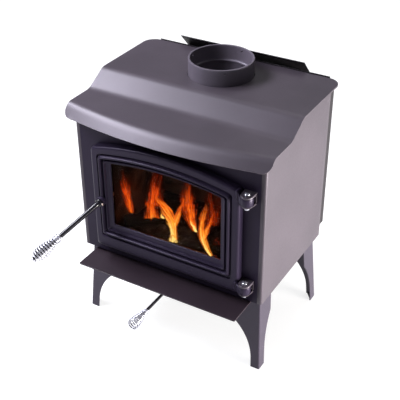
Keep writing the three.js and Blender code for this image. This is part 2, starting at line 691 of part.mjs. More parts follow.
// ---------------------------------------------------------------- door latch
// The shaft runs through the door, and outside it a thicker rod bends down and to the left to its grip.
function handleRod() {
  const along = handleLine.clone().normalize();
  const rodStart = new THREE.Vector3(latch.x, latch.bossFront - gap * 2, latch.z);
  const bendEnd = handleStart.clone().addScaledVector(along, latch.boss);
  const end = handleTip.clone().addScaledVector(along, -grip.rodEnds);
  const middle = bendEnd.clone().lerp(end, 0.5);
  const rod = new THREE.CatmullRomCurve3([rodStart, handleStart, bendEnd, middle, end], false, "centripetal");
  const shaft = bar(latch.shaft, [latch.x, latch.turnAt, latch.z], [latch.x, latch.inner, latch.z], 12);
  return join(swept(rod, latch.rod, 20, 12), shaft);
}

// A bar that stands up behind the front plate, and turns behind its edge as the handle is pushed down.
function latchCam() {
  const shape = new THREE.Shape();
  shape.moveTo(latch.x - cam.halfWidth, latch.z);
  shape.absarc(latch.x, latch.z, cam.hub, Math.PI * 1.25, Math.PI * 1.75);
  shape.lineTo(latch.x + cam.halfWidth, latch.z + cam.reach);
  shape.absarc(latch.x, latch.z + cam.reach, cam.halfWidth, 0, Math.PI);
  const [before, beyond] = [cam.front - past, cam.back + past];
  const hole = bar(latch.shaft + gap, [latch.x, before, latch.z], [latch.x, beyond, latch.z], 12);
  return cut(prism(shape, "y", cam.front, cam.back), hole);
}

function shaftNut() {
  const ends = [latchNut.front, latchNut.back].map((y) => [latch.x, y, latch.z]);
  const holeEnds = [latchNut.front - past, latchNut.back + past].map((y) => [latch.x, y, latch.z]);
  return cut(bar(latchNut.radius, ...ends, 6), bar(latch.shaft + gap, ...holeEnds, 12));
}

// A wear plate on the back of the front plate that the cam draws up against.
const latchCatch = () =>
  block(wearPlate.x, [doorway.thick + gap, doorway.thick + gap + wearPlate.thick], wearPlate.z);

// ---------------------------------------------------------------- assembly
const finishes = {
  paint: { color: 0x4a474d, roughness: 0.55, metalness: 0.3 },
  castIron: { color: 0x35333b, roughness: 0.6, metalness: 0.3 },
  steel: { color: 0x2b2a2e, roughness: 0.5, metalness: 0.7 },
  chrome: { color: 0xd8d9dc, roughness: 0.15, metalness: 1.0 },
  glass: { color: 0x1a120c, roughness: 0.05, metalness: 0.0, transparent: true, opacity: 0.35 },
  brick: { color: 0xa08a6c, roughness: 0.95, metalness: 0.0 },
  board: { color: 0xc9bda4, roughness: 0.95, metalness: 0.0 },
  rope: { color: 0x4b4a48, roughness: 1.0, metalness: 0.0 },
};

const stove = new THREE.Group();

function add(name, made, finish) {
  const mesh = new THREE.Mesh(geometryOf(made), new THREE.MeshStandardMaterial(finishes[finish]));
  mesh.name = name;
  stove.add(mesh);
}

add("firebox", firebox(), "steel");
add("front_plate", frontPlate(), "paint");
add("left_side_panel", sidePanel(-1), "paint");
add("right_side_panel", sidePanel(1), "paint");
add("top_plate", topPlate(), "paint");
add("rear_heat_shield", rearHeatShield(), "paint");
add("rear_air_duct", rearAirDuct(), "paint");
add("flue_collar", flueCollar(), "castIron");
add("base_plate", basePlate(), "steel");
add("leg_front_left", stoveLeg(-1, -1), "paint");
add("leg_front_right", stoveLeg(1, -1), "paint");
add("leg_rear_left", stoveLeg(-1, 1), "paint");
add("leg_rear_right", stoveLeg(1, 1), "paint");
add("ash_lip", ashLip(), "paint");
add("air_inlet_box", airInletBox(), "steel");

floorBricks().forEach((made, i) => add(`floor_brick_${i + 1}`, made, "brick"));
rearBricks().forEach((made, i) => add(`rear_brick_${i + 1}`, made, "brick"));
sideBricks(-1).forEach((made, i) => add(`left_brick_${i + 1}`, made, "brick"));
sideBricks(1).forEach((made, i) => add(`right_brick_${i + 1}`, made, "brick"));
add("left_air_manifold", airManifold(-1), "steel");
add("right_air_manifold", airManifold(1), "steel");
["front", "middle", "rear"].forEach((name, i) => add(`air_tube_${name}`, airTube(i), "steel"));
add("left_baffle_board", baffleBoard(-1), "board");
add("right_baffle_board", baffleBoard(1), "board");
add("airwash_plate", airwashPlate(), "steel");
add("latch_catch", latchCatch(), "steel");

add("door_frame", doorFrame(), "castIron");
add("door_glass", doorGlass(), "glass");
add("glass_gasket", glassGasket(), "rope");
add("door_gasket", doorGasket(), "rope");
for (const [name, sizes] of Object.entries(retainers)) {
  add(`glass_retainer_${name}`, glassRetainer(sizes), "steel");
  add(`retainer_screw_${name}_left`, retainerScrew(-1, sizes), "steel");
  add(`retainer_screw_${name}_right`, retainerScrew(1, sizes), "steel");
}

for (const [name, down] of [["upper", 0], ["lower", hinge.lowerBy]]) {
  add(`hinge_bracket_${name}`, hingeBracket(down), "castIron");
  add(`hinge_pin_${name}`, hingePin(down), "chrome");
  add(`hinge_nut_${name}`, hingeNut(down), "chrome");
}

add("handle_rod", handleRod(), "steel");
add("handle_grip", handleGrip(), "chrome");
add("latch_cam", latchCam(), "steel");
add("latch_nut", shaftNut(), "steel");

add("air_control_rod", airControlRod(), "steel");
add("air_control_grip", airControlGrip(), "chrome");
add("air_damper", airDamper(), "steel");

const footprint = new THREE.Box3().setFromObject(stove);
stove.position.y = -(footprint.min.y + footprint.max.y) / 2;

export default stove;
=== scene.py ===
"""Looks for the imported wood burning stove: fine meshes, procedural materials, fire, light and camera."""
import json
from math import acos, cos, pi, radians, sin, sqrt, tan
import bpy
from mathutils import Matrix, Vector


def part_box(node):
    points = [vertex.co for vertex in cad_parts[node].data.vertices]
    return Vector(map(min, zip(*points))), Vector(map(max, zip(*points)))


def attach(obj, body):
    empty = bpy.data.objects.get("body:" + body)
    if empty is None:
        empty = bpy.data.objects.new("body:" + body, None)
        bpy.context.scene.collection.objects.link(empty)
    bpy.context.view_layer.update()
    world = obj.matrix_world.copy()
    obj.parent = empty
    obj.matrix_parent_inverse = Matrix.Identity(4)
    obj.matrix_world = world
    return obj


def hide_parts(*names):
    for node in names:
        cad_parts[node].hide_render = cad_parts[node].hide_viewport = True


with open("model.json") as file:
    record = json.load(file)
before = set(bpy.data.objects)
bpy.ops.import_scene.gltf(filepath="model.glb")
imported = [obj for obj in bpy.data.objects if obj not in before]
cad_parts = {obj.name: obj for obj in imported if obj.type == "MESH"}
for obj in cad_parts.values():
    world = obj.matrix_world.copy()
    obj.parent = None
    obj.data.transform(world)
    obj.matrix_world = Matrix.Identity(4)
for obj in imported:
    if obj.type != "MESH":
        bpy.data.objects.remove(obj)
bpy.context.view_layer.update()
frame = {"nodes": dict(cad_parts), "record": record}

from types import SimpleNamespace as Sizes

import bpy
from mathutils import Matrix, Vector, noise

MM = 0.001
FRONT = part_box("front_plate")[0][1]     # outer face of the front plate; every y below is measured from it


def at(x, y, z):
    """A point given in millimetres from the front plate and the floor, in the row frame."""
    return Vector((x * MM, y * MM + FRONT, z * MM))


# ---------- driving dimensions (mm)
SHEET = 2
GAP = 0.3
BODY = Sizes(w=260, depth=341, bottom=211, fold=12, radius=6)
TOP = Sizes(w=277, rear=366.7, upper=656, shelf=621, sheet=4, bow=1250, bow_ends=60)
BENDS = Sizes(rise_top=146, rise_foot=85, lip=-31, edge=-55, edge_z=594, radius=40, lip_radius=26)
CORNER = Sizes(rear=34, front=32, depth=21)
FLUE = Sizes(y=260.6, outer=82, inner=77, seat=73, seat_z=659, rim_z=698.5, flange=96, foot=606.3)
HOLE = Sizes(clear=1.5, reach=96, front=165, rear=352)      # in the top plate, and the square it is cut in
SCREW = Sizes(angles=(-55, 77, 185), below_rim=10, radius=2.6)
SHIELD = Sizes(front=342.5, rear=369, bottom=240, upstand=244, top=659)
DOORWAY = (185, 262, 526, 24, 6)        # half width, bottom, arch, drop and corner, as in OUTLINES
LEG = Sizes(x=248.5, front=18, rear=330, top=206.7, splay_x=12.2, splay_y=17, sheet=3)
LIP = Sizes(w=228, front=-76, rear=14, top=204, thick=3, corner=4)
HINGE = Sizes(x=223, y=-20, radius=15, top=519.2, ear=20, lug=5, clear=0.4, lower=248.5, bore=4.3, pin=4)
LATCH = Sizes(x=-178, z=383, rod=6.2)
HANDLE_TIP = (-254, -216, 293)
BED = Sizes(x=186, front=52, rear=276, floor=248.2)
AIR = Sizes(z=164.5, radius=4, start=-111, end=-174)
DUCT = Sizes(w=177, back=398, bottom=300, top=646, edge_y=362, edge_z=684)


# ---------- node materials
class Finish:
    """Builds one Principled material from nodes."""

    def __init__(self, name, color=(0.5, 0.5, 0.5), **sockets):
        self.material = bpy.data.materials.new(name)
        self.material.use_nodes = True
        self.tree = self.material.node_tree
        self.shader = self.tree.nodes["Principled BSDF"]
        self.color(color)
        for socket, value in sockets.items():
            self.set(socket.replace("_", " "), value)
        self.place = self.node("TexCoord").outputs["Object"]

    def node(self, kind, inputs=None, **settings):
        made = self.tree.nodes.new("ShaderNode" + kind)
        for name, value in settings.items():
            setattr(made, name, value)
        for name, value in (inputs or {}).items():
            self.feed(made.inputs[name], value)
        return made

    def feed(self, socket, value):
        if isinstance(value, bpy.types.NodeSocket):
            self.tree.links.new(value, socket)
        elif socket.type == "RGBA":
            socket.default_value = (*value, 1)
        else:
            socket.default_value = value

    def set(self, name, value):
        self.feed(self.shader.inputs[name], value)

    def color(self, value):
        self.set("Base Color", value)

    def stretch(self, x, y, z, vector=None, turn=(0, 0, 0)):
        inputs = dict(Vector=vector or self.place, Scale=(x, y, z), Rotation=turn)
        return self.node("Mapping", inputs).outputs["Vector"]

    def noise(self, scale, detail=4.0, rough=0.55, vector=None, warp=0.0):
        inputs = dict(Vector=vector or self.place, Scale=scale, Detail=detail, Roughness=rough)
        inputs["Distortion"] = warp
        return self.node("TexNoise", inputs).outputs["Fac"]

    def cells(self, scale, feature="F1", vector=None):
        inputs = dict(Vector=vector or self.place, Scale=scale)
        return self.node("TexVoronoi", inputs, feature=feature).outputs["Distance"]

    def ramp(self, value, *stops):
        made = self.node("ValToRGB", {"Fac": value})
        band = made.color_ramp
        while len(band.elements) < len(stops):
            band.elements.new(0.5)
        for element, (position, color) in zip(band.elements, stops):
            element.position = position
            element.color = (*color, 1)
        return made.outputs["Color"]

    def range(self, value, low, high, to_low=0.0, to_high=1.0, smooth=False):
        made = self.node("MapRange")
        if smooth:
            made.interpolation_type = "SMOOTHSTEP"
        for socket, number in zip(made.inputs[:5], (value, low, high, to_low, to_high)):
            self.feed(socket, number)
        return made.outputs["Result"]

    def math(self, operation, a, b=0.0):
        return self.node("Math", {0: a, 1: b}, operation=operation).outputs["Value"]

    def times(self, a, b):
        return self.math("MULTIPLY", a, b)

    def plus(self, a, b):
        return self.math("ADD", a, b)

    def mix(self, amount, a, b):
        """A blend of two colours, which are the node's sockets 6 and 7."""
        return self.node("Mix", {"Factor": amount, 6: a, 7: b}, data_type="RGBA").outputs[2]

    def bump(self, height, distance, strength=1.0, under=None):
        inputs = dict(Height=height, Distance=distance, Strength=strength)
        if under:
            inputs["Normal"] = under
        normal = self.node("Bump", inputs).outputs["Normal"]
        self.set("Normal", normal)
        return normal

    def axis(self, name):
        return self.node("SeparateXYZ", {"Vector": self.place}).outputs[name]

    def glow(self, strength, value, *stops):
        self.set("Emission Color", self.ramp(value, *stops))
        self.set("Emission Strength", strength)

    def held(self, name):
        """A value stored on the mesh's vertices."""
        return self.node("Attribute", attribute_name=name).outputs["Fac"]


def paint(name, color, rough, grain=1.0, cast=0.0, gloss=0.5, sheen=(1, 1, 1)):
    """Baked high-temperature paint: satin, slightly mottled, with a fine sprayed grain."""
    made = Finish(name, Specular_IOR_Level=gloss, Specular_Tint=sheen)
    broad = made.noise(7, 3)
    fine = made.noise(900, 2, 0.6)
    specks = made.noise(260, 3, 0.7)
    dark = tuple(c * 0.86 for c in color)
    light = tuple(c * 1.14 for c in color)
    tone = made.plus(made.times(broad, 0.6), made.times(specks, 0.4))
    made.color(made.ramp(tone, (0.36, dark), (0.64, light)))
    made.set("Roughness", made.range(specks, 0.3, 0.7, rough - 0.04, rough + 0.05))
    under = made.bump(fine, 0.0001 * grain, 0.35)
    if cast:
        under = made.bump(made.noise(180, 4, 0.6), 0.0005 * cast, 0.4, under)
    made.bump(broad, 0.0015, 0.15, under)
    return made.material


def chrome():
    made = Finish("chrome", (0.8, 0.81, 0.85), Metallic=0.8)
    wear = made.noise(120, 4)
    bright = made.ramp(wear, (0.35, (0.36, 0.36, 0.41)), (0.62, (0.52, 0.52, 0.58)))
    # painted shade: the coil's stored inner value turns the wire near black on the side that faces the rod
    made.color(made.mix(made.held("inner"), bright, (0.02, 0.02, 0.025)))
    made.set("Roughness", made.range(wear, 0.3, 0.7, 0.2, 0.32))
    made.bump(made.noise(800, 2), 0.00005, 0.3)
    return made.material


def steel(color, rough):
    """Bare steel that has been in the fire: brown and blue heat tint, soot and fine scratches."""
    made = Finish("bare_steel", Metallic=0.85)
    tint = made.noise(11, 4, 0.6)
    soot = made.noise(30, 5, 0.6)
    warm = tuple(c * k for c, k in zip(color, (1.0, 0.72, 0.5)))
    cool = tuple(c * k for c, k in zip(color, (0.5, 0.6, 0.85)))
    shade = made.ramp(tint, (0.3, cool), (0.5, warm), (0.68, color))
    made.color(made.mix(made.range(soot, 0.45, 0.62, 0.15, 0.85), shade, (0.02, 0.017, 0.015)))
    made.set("Roughness", made.range(soot, 0.35, 0.65, rough - 0.08, rough + 0.25))
    made.bump(made.noise(1, 4, vector=made.stretch(40, 900, 900)), 0.0001, 0.4)
    return made.material


def firebrick():
    """Pale refractory brick, pitted and blackened by smoke from the top down."""
    made = Finish("firebrick", Roughness=0.9)
    grit = made.noise(240, 5, 0.7)
    pits = made.cells(160)
    stain = made.noise(9, 5, 0.62, warp=0.4)
    clay = made.ramp(grit, (0.3, (0.12, 0.075, 0.045)), (0.7, (0.3, 0.2, 0.125)))
    height = made.range(made.axis("Z"), 0.24, 0.42, 0.24, 0.0)
    soot = made.range(made.math("SUBTRACT", stain, height), 0.28, 0.46, 0.25, 0.97)
    made.color(made.mix(soot, clay, (0.011, 0.009, 0.008)))
    made.set("Roughness", made.range(grit, 0.3, 0.7, 0.82, 0.96))
    under = made.bump(made.range(pits, 0.0, 0.35), 0.0012, 0.5)
    made.bump(grit, 0.001, 0.5, under)
    return made.material


def fibre_board():
    made = Finish("fibre_board", Roughness=0.95)
    fibre = made.noise(1, 5, 0.7, made.stretch(160, 160, 900), 0.5)
    stain = made.noise(12, 5, 0.6)
    pale = made.ramp(fibre, (0.35, (0.34, 0.31, 0.27)), (0.65, (0.52, 0.49, 0.44)))
    made.color(made.mix(made.range(stain, 0.4, 0.6, 0.2, 0.9), pale, (0.03, 0.026, 0.022)))
    made.bump(fibre, 0.0008, 0.6)
    return made.material


def rope():
    """Braided glass-fibre rope."""
    made = Finish("rope", Roughness=0.9)
    turned = [made.stretch(1, 1, 1, turn=(0, radians(a), 0)) for a in (45, -45)]
    strands = [made.node("TexWave", dict(Vector=vector, Scale=160, Distortion=1.5)) for vector in turned]
    braid = made.math("MAXIMUM", *(strand.outputs["Fac"] for strand in strands))
    made.color(made.ramp(braid, (0.2, (0.02, 0.02, 0.02)), (0.9, (0.16, 0.155, 0.15))))
    made.set("Roughness", made.range(made.noise(300), 0.3, 0.7, 0.8, 0.98))
    made.bump(braid, 0.001, 0.8)
    return made.material


def glass():
    """Ceramic glass, faintly smoky, with a patchy haze of soot."""
    made = Finish("door_glass", (0.6, 0.57, 0.55), Transmission_Weight=1.0, IOR=1.06)
    haze = made.noise(16, 5, 0.6)
    made.color(made.ramp(haze, (0.35, (0.62, 0.59, 0.57)), (0.7, (0.5, 0.46, 0.43))))
    made.set("Roughness", made.range(haze, 0.4, 0.75, 0.0, 0.03))
    return made.material


# ---------- meshes
SLOTS = {}


def mesh_of(name, points, faces):
    mesh = bpy.data.meshes.new(name)
    mesh.from_pydata([tuple(p) for p in points], [], faces)
    return mesh


def add(name, data):
    made = bpy.data.objects.new(name, data)
    bpy.context.scene.collection.objects.link(made)
    return made


def piece(name, points, faces, slot, body="stove_body", stands_for=(), values=None,
          sharp=35, thick=0.0, bevel=0.0, material=None):
    """A mesh that rides on a body. Points are mathutils vectors in the row frame."""
    mesh = mesh_of(name, points, faces)
    mesh.validate()
    mesh.update()
    made = add(name, mesh)
    mesh.shade_smooth()
    for title, numbers in (values or {}).items():
        layer = mesh.attributes.new(title, "FLOAT", "POINT")
        layer.data.foreach_set("value", numbers)
    mesh.materials.append(material or SLOTS[slot])
    if not bevel and sharp:
        mesh.set_sharp_from_angle(angle=radians(sharp))
    if thick:
        solid = made.modifiers.new("sheet", "SOLIDIFY")
        solid.thickness = thick * MM
        solid.offset = -1
    if bevel:
        edge = made.modifiers.new("edges", "BEVEL")
        edge.width = bevel * MM
        edge.segments = 3
        edge.limit_method = "ANGLE"
        edge.angle_limit = radians(sharp)
    if bevel or thick:
        made.modifiers.new("normals", "WEIGHTED_NORMAL").weight = 60
    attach(made, body)
    if stands_for:
        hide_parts(*stands_for)
    return made


def stand_in(name, mesh, slot, body="stove_body", **more):
    """A piece that takes the place of the frame's node of the same name."""
    return piece(name, *mesh, slot, body, [name], **more)


def merge(*parts):
    """Several (points, faces) lists as one."""
    points, faces = [], []
    for more, wraps in parts:
        start = len(points)
        points += list(more)
        faces += [tuple(i + start for i in face) for face in wraps]
    return points, faces


def loft(loops, capped=False, strip=False, joined=False):
    """Faces between successive loops that all have the same number of points. A strip's loops are
    open lines, and joined loops close up from the last one to the first."""
    count = len(loops[0])
    points = [p for loop in loops for p in loop]
    faces = []
    pairs = len(loops) if joined else len(loops) - 1
    for j in range(pairs):
        k = (j + 1) % len(loops)
        for i in range(count - 1 if strip else count):
            n = (i + 1) % count
            faces.append((j * count + i, j * count + n, k * count + n, k * count + i))
    if capped:
        faces.append(tuple(reversed(range(count))))
        faces.append(tuple(range((len(loops) - 1) * count, len(loops) * count)))
    return points, faces


def extrude(outline, levels, place=at, strip=False):
    """An outline of (x, y) points carried up through the levels."""
    return loft([[place(*spot, z) for spot in outline] for z in levels], not strip, strip)


def flip(points, faces):
    return points, [tuple(reversed(face)) for face in faces]


def curve(start, corner, end, t):
    """A point at 0 to 1 along the curve from start to end that a corner pulls out."""
    return start * (1 - t) ** 2 + corner * 2 * t * (1 - t) + end * t ** 2


def bent(corners, steps=10):
    """A line through (a, b, radius) corners, each one rounded to about its radius."""
    line = [Vector(corners[0][:2])]
    for before, corner, after in zip(corners, corners[1:], corners[2:]):
        here = Vector(corner[:2])
        back = (Vector(before[:2]) - here).normalized()
        on = (Vector(after[:2]) - here).normalized()
        reach = corner[2] * tan((pi - back.angle(on)) / 2)
        start, end = here + back * reach, here + on * reach
        line += [curve(start, here, end, t) for t in spread(0, 1, steps)]
    line.append(Vector(corners[-1][:2]))
    return line


def offset(line, distance):
    moved = []
    for i, here in enumerate(line):
        along = (line[min(i + 1, len(line) - 1)] - line[max(i - 1, 0)]).normalized()
        moved.append(here + Vector((-along.y, along.x)) * distance)
    return moved


def follow(line, value):
    """The second coordinate of a line at a value of its first."""
    for a, b in zip(line, line[1:]):
        if a.x <= value <= b.x:
            return a.y + (b.y - a.y) * (value - a.x) / max(b.x - a.x, 1e-9)
    return line[0].y if value < line[0].x else line[-1].y


def spread(start, end, count):
    return [start + (end - start) * i / count for i in range(count + 1)]


def around(degrees, radius=1.0):
    """The (x, y) of a point on a circle."""
    a = radians(degrees)
    return radius * cos(a), radius * sin(a)


def mirrored(half):
    """A closed outline from its right half, which runs from the bottom middle to the top middle."""
    return half + [(-x, z) for x, z in reversed(half[1:-1])]


def ring(centre, across, third, radius, sides):
    return [centre + (across * cos(a) + third * sin(a)) * radius * MM
            for a in (2 * pi * n / sides for n in range(sides))]


def lathe(profile, base, axis, sides=48, closed=False):
    """A profile of (radius, distance along the axis) pairs turned about an axis through base."""
    axis = Vector(axis).normalized()
    across = axis.orthogonal().normalized()
    third = axis.cross(across)
    loops = [ring(base + axis * along * MM, across, third, radius, sides) for radius, along in profile]
    return loft(loops, capped=not closed, joined=closed)


def tube(path, radii, sides=24):
    """A round section carried along a path of points without twisting, closed at both ends."""
    along = (path[1] - path[0]).normalized()
    across = along.orthogonal().normalized()
    loops = []
    for i, here in enumerate(path):
        on = (path[min(i + 1, len(path) - 1)] - path[max(i - 1, 0)]).normalized()
        across = (across - on * across.dot(on)).normalized()
        loops.append(ring(here, across, on.cross(across), radii[i], sides))
    return loft(loops, capped=True)


# ---------- convection top
def bow_at(x):
    return TOP.bow - sqrt(TOP.bow ** 2 - min(abs(x), TOP.w + 20) ** 2)


def bowed(x, y):
    return y + min(max(1 - y / TOP.bow_ends, 0), 1) * bow_at(x)


def unbowed(x, y):
    """The depth that bowing moves to y."""
    bow = bow_at(x)
    if y >= TOP.bow_ends:
        return y
    return y - bow if y < bow else (y - bow) / (1 - bow / TOP.bow_ends)


TOP_LINE = bent([
    (BENDS.edge, BENDS.edge_z),
    (BENDS.lip, TOP.shelf, BENDS.lip_radius),
    (BENDS.rise_foot, TOP.shelf, BENDS.radius),
    (BENDS.rise_top, TOP.upper, BENDS.radius),
    (TOP.rear, TOP.upper),
])
UNDER_TOP = offset(TOP_LINE, -(TOP.sheet + GAP))


def round_off(past, radius):
    """How far a round corner has come in at a distance past its start, as a share of its radius."""
    return 1 - sqrt(max(1 - (past / radius) ** 2, 0))


def convection_top():
    """A grid of columns across the top, bent down at its front, with a square of it cut out for the flue."""
    w, rear, reach = TOP.w, TOP.rear, HOLE.reach
    bend = w - CORNER.front
    back_bend = w - CORNER.rear
    last_plain, first_row, mid_row = 228, -10, 45
    turns = [sin(radians(a)) for a in (15, 30, 42, 54, 64, 73, 80, 86, 90)]
    side = sorted({round(bend + CORNER.front * t, 2) for t in turns} | {bend}
                  | {round(back_bend + CORNER.rear * t, 2) for t in turns[:5]} | {back_bend})
    half = spread(0, reach, 8) + spread(reach, last_plain, 9)[1:] + side
    columns = [-x for x in reversed(half[1:])] + half
    bends = [p.x for p in TOP_LINE if first_row < p.x < HOLE.front]
    rows = sorted({round(y, 2) for y in bends + spread(first_row, mid_row, 5) + spread(mid_row, bends[0], 2)
                   + spread(HOLE.front, HOLE.rear, 15)})
    nose, tail = 10, 3
    squeeze, apart = 25, 0.05

    def column(x):
        a = abs(x)
        edge, end = BENDS.edge, rear
        if a > bend:
            edge += bow_at(bend) + CORNER.depth * round_off(a - bend, CORNER.front) - bow_at(x)
        if a > back_bend:
            end -= CORNER.rear * round_off(a - back_bend, CORNER.rear)
        last = min(rows[-1], end - 1)
        ys = spread(edge, rows[0], nose)[:-1]
        ys += [min(y, last - (len(rows) - 1 - i) * apart) if y > last - squeeze else y
               for i, y in enumerate(rows)]
        ys += spread(last, end, tail)[1:]
        return [at(x, bowed(x, y), follow(TOP_LINE, y)) for y in ys]

    grid = [column(x) for x in columns]
    count = len(grid[0])
    points = [p for line in grid for p in line]
    flat = [nose + i for i, y in enumerate(rows) if HOLE.front <= y <= HOLE.rear]
    inside = [i for i, x in enumerate(columns) if abs(x) <= reach + 0.01]
    first, last, left, right = flat[0], flat[-1], inside[0], inside[-1]
    faces = [(i * count + j, (i + 1) * count + j, (i + 1) * count + j + 1, i * count + j + 1)
             for i in range(len(columns) - 1) for j in range(count - 1)
             if not (left <= i < right and first <= j < last)]
    square = [(i, first) for i in range(left, right)] + [(right, j) for j in range(first, last)]
    square += [(i, last) for i in range(right, left, -1)] + [(left, j) for j in range(last, first, -1)]
    outer = [i * count + j for i, j in square]
    rim = range(len(points), len(points) + len(outer))
    centre = at(0, FLUE.y, TOP.upper)
    hole = FLUE.outer + HOLE.clear
    points += [centre + (points[i] - centre).normalized() * hole * MM for i in outer]
    for n in range(len(outer)):
        m = (n + 1) % len(outer)
        faces.append((outer[n], outer[m], rim[m], rim[n]))
    used = sorted({i for face in faces for i in face})
    fresh = {old: new for new, old in enumerate(used)}
    return [points[i] for i in used], [tuple(fresh[i] for i in face) for face in faces]


# ---------- outer sheet metal
def side_panel(side):
    w, depth = BODY.w, BODY.depth
    line = bent([(w - BODY.fold, 0), (w, 0, BODY.radius), (w, depth)], 8)[:-1]
    line += [Vector((w, y)) for y in spread(line[-1].y, depth, 24)[1:]]
    loops = []
    for spot in line:
        top = follow(UNDER_TOP, unbowed(spot.x, spot.y))
        loops.append([at(side * spot.x, spot.y, z) for z in spread(BODY.bottom, top, 8)])
    made = loft(loops, strip=True)
    return flip(*made) if side > 0 else made


def front_plate():
    """The plate behind the door: a frame between its own edges and the arched doorway."""
    w, low, thick = BODY.w - BODY.fold, BODY.bottom, 4
    high = follow(UNDER_TOP, unbowed(w, 0))
    near, inset = (2, 4), 6

    def outer(y):
        half = [(x, low) for x in spread(0, w - inset, 8)]
        half += [(w - d, low) for d in reversed(near)] + [(w, low)] + [(w, low + d) for d in near]
        half += [(w, z) for z in spread(low + inset, high - inset, 12)]
        half += [(w, high - d) for d in reversed(near)] + [(w, high)] + [(w - d, high) for d in near]
        half += [(x, follow(UNDER_TOP, unbowed(x, 0))) for x in spread(w - inset, 0, 20)]
        return [at(x, y, z) for x, z in mirrored(half)]

    loops = [outer(thick), outer(0), arch_loop(*DOORWAY, 0), arch_loop(*DOORWAY, thick)]
    return loft(loops, joined=True)


def heat_shield():
    w, front, back = BODY.w - SHEET, SHIELD.front, SHIELD.rear
    top = TOP.upper - TOP.sheet - GAP
    section = bent([(-w, front), (-w, back, 4), (w, back, 4), (w, front)], 5)
    channel = extrude(section, spread(SHIELD.bottom, top, 6), strip=True)
    across = [(x, back) for x in spread(-SHIELD.upstand, SHIELD.upstand, 8)]
    upstand = extrude(across, (top, SHIELD.top), strip=True)
    return merge(flip(*channel), flip(*upstand))


def air_duct():
    """A cover that leans over the top at its upper end, between two side walls."""
    w, back, low, high = DUCT.w, DUCT.back, DUCT.bottom, DUCT.top
    line = bent([(back, low), (back, high, 8), (DUCT.edge_y, DUCT.edge_z)], 6)
    cover = loft([[at(x, p.x, p.y) for p in line] for x in spread(-w, w, 10)], strip=True)
    near, far, high = SHIELD.rear + GAP, back - 0.5, high - 4
    corners = [(near, low), (far, low), (far, high), (near, high)]
    walls = [([at(side * w, y, z) for y, z in corners], [order])
             for side, order in ((-1, (3, 2, 1, 0)), (1, (0, 1, 2, 3)))]
    return merge(cover, *walls)


def collar():
    outer, inner, seat, foot = FLUE.outer, FLUE.inner, FLUE.seat, FLUE.foot
    z, rim = FLUE.seat_z, FLUE.rim_z
    edge = [(0, 1.4), (0.4, 0.45), (1.4, 0)]
    profile = [(seat, z - 0.5), (seat, z - 4), (inner, z - 4), (inner, foot), (FLUE.flange, foot)]
    profile += [(FLUE.flange, foot + 6), (outer, foot + 6)]
    profile += [(outer, level) for level in spread(foot + 8, rim - 20, 6)] + [(outer, rim - 8)]
    profile += [(outer - a, rim - b) for a, b in edge]
    profile += [(inner + a, rim - b) for a, b in reversed(edge)]
    profile += [(inner, level) for level in spread(rim - 6, z + 2, 4)]
    profile += [(inner - 0.6, z + 0.6), (inner - 1.6, z), (seat + 0.6, z)]
    return lathe(profile, at(0, FLUE.y, 0), (0, 0, 1), 96, closed=True)


def screw_holes():
    """Round holes through the collar's wall for the screws that hold the flue pipe."""
    parts = []
    for degrees in SCREW.angles:
        out = Vector((*around(degrees), 0))
        start = at(0, FLUE.y, FLUE.rim_z - SCREW.below_rim) + out * (FLUE.inner - 5) * MM
        end = start + out * (FLUE.outer - FLUE.inner + 10) * MM
        parts.append(tube([start, end], [SCREW.radius] * 2, 20))
    return merge(*parts)


def carve(target, cutter, sharp):
    """Cuts one mesh out of another for good."""
    mesh = mesh_of("cutter", *cutter)
    knife = add("cutter", mesh)
    cut = target.modifiers.new("holes", "BOOLEAN")
    cut.object, cut.operation, cut.solver = knife, "DIFFERENCE", "EXACT"
    graph = bpy.context.evaluated_depsgraph_get()
    done = bpy.data.meshes.new_from_object(target.evaluated_get(graph))
    target.modifiers.remove(cut)
    old, target.data = target.data, done
    bpy.data.meshes.remove(old)
    bpy.data.objects.remove(knife)
    bpy.data.meshes.remove(mesh)
    target.data.set_sharp_from_angle(angle=radians(sharp))


def ash_lip():
    w, r = LIP.w, LIP.corner
    outline = [Vector((-w, LIP.rear))]
    for centre, start in (((-w + r, LIP.front + r), 180), ((w - r, LIP.front + r), 270)):
        outline += [Vector(centre) + Vector(around(a, r)) for a in spread(start, start + 90, 8)]
    outline.append(Vector((w, LIP.rear)))
    plate = extrude(outline, (LIP.top - LIP.thick, LIP.top))
    rear, front = LIP.rear, LIP.rear - LIP.thick
    back = [(-w, front), (w, front), (w, rear), (-w, rear)]
    return merge(plate, extrude(back, (LIP.top - 1, LEG.top)))


def leg(side_x, side_y):
    """A folded leg: two flanges that sweep out to the top, a tab under the base and a small foot."""
    def reach(z, foot, top, curve, start):
        if z < start:
            return foot
        return min(top, foot + curve - sqrt(max(curve ** 2 - (z - start) ** 2, 0)))

    def place(x, y, z):
        lean = z / LEG.top
        px = LEG.x + x + LEG.splay_x * (1 - lean)
        py = (LEG.front if side_y < 0 else -LEG.rear) + y - LEG.splay_y * (1 - lean)
        return at(side_x * px, -side_y * py, z)

    r = 3.5
    loops = []
    for z in spread(0.3, LEG.top, 44):
        front = reach(z, 24.5, 110, 125, 29)
        side = reach(z, 29, 60, 180, 43)
        section = [(-d, 0) for d in reversed(spread(r, front, 8))]
        section += [(up - r, r - on) for on, up in (around(a, r) for a in (18, 36, 54, 72, 90))]
        section += [(0, d) for d in spread(r, side, 6)[1:]]
        loops.append([place(x, y, z) for x, y in section])
    shell = loft(loops, strip=True)
    tab = extrude([(0, 0), (-66, 0), (0, 66)], (LEG.top - 3, LEG.top), place)
    foot = extrude([(-1, 1), (-23.5, 1), (-1, 28)], (0, 4), place)
    if side_x * side_y > 0:
        shell, tab, foot = flip(*shell), flip(*tab), flip(*foot)
    return shell, merge(tab, foot)


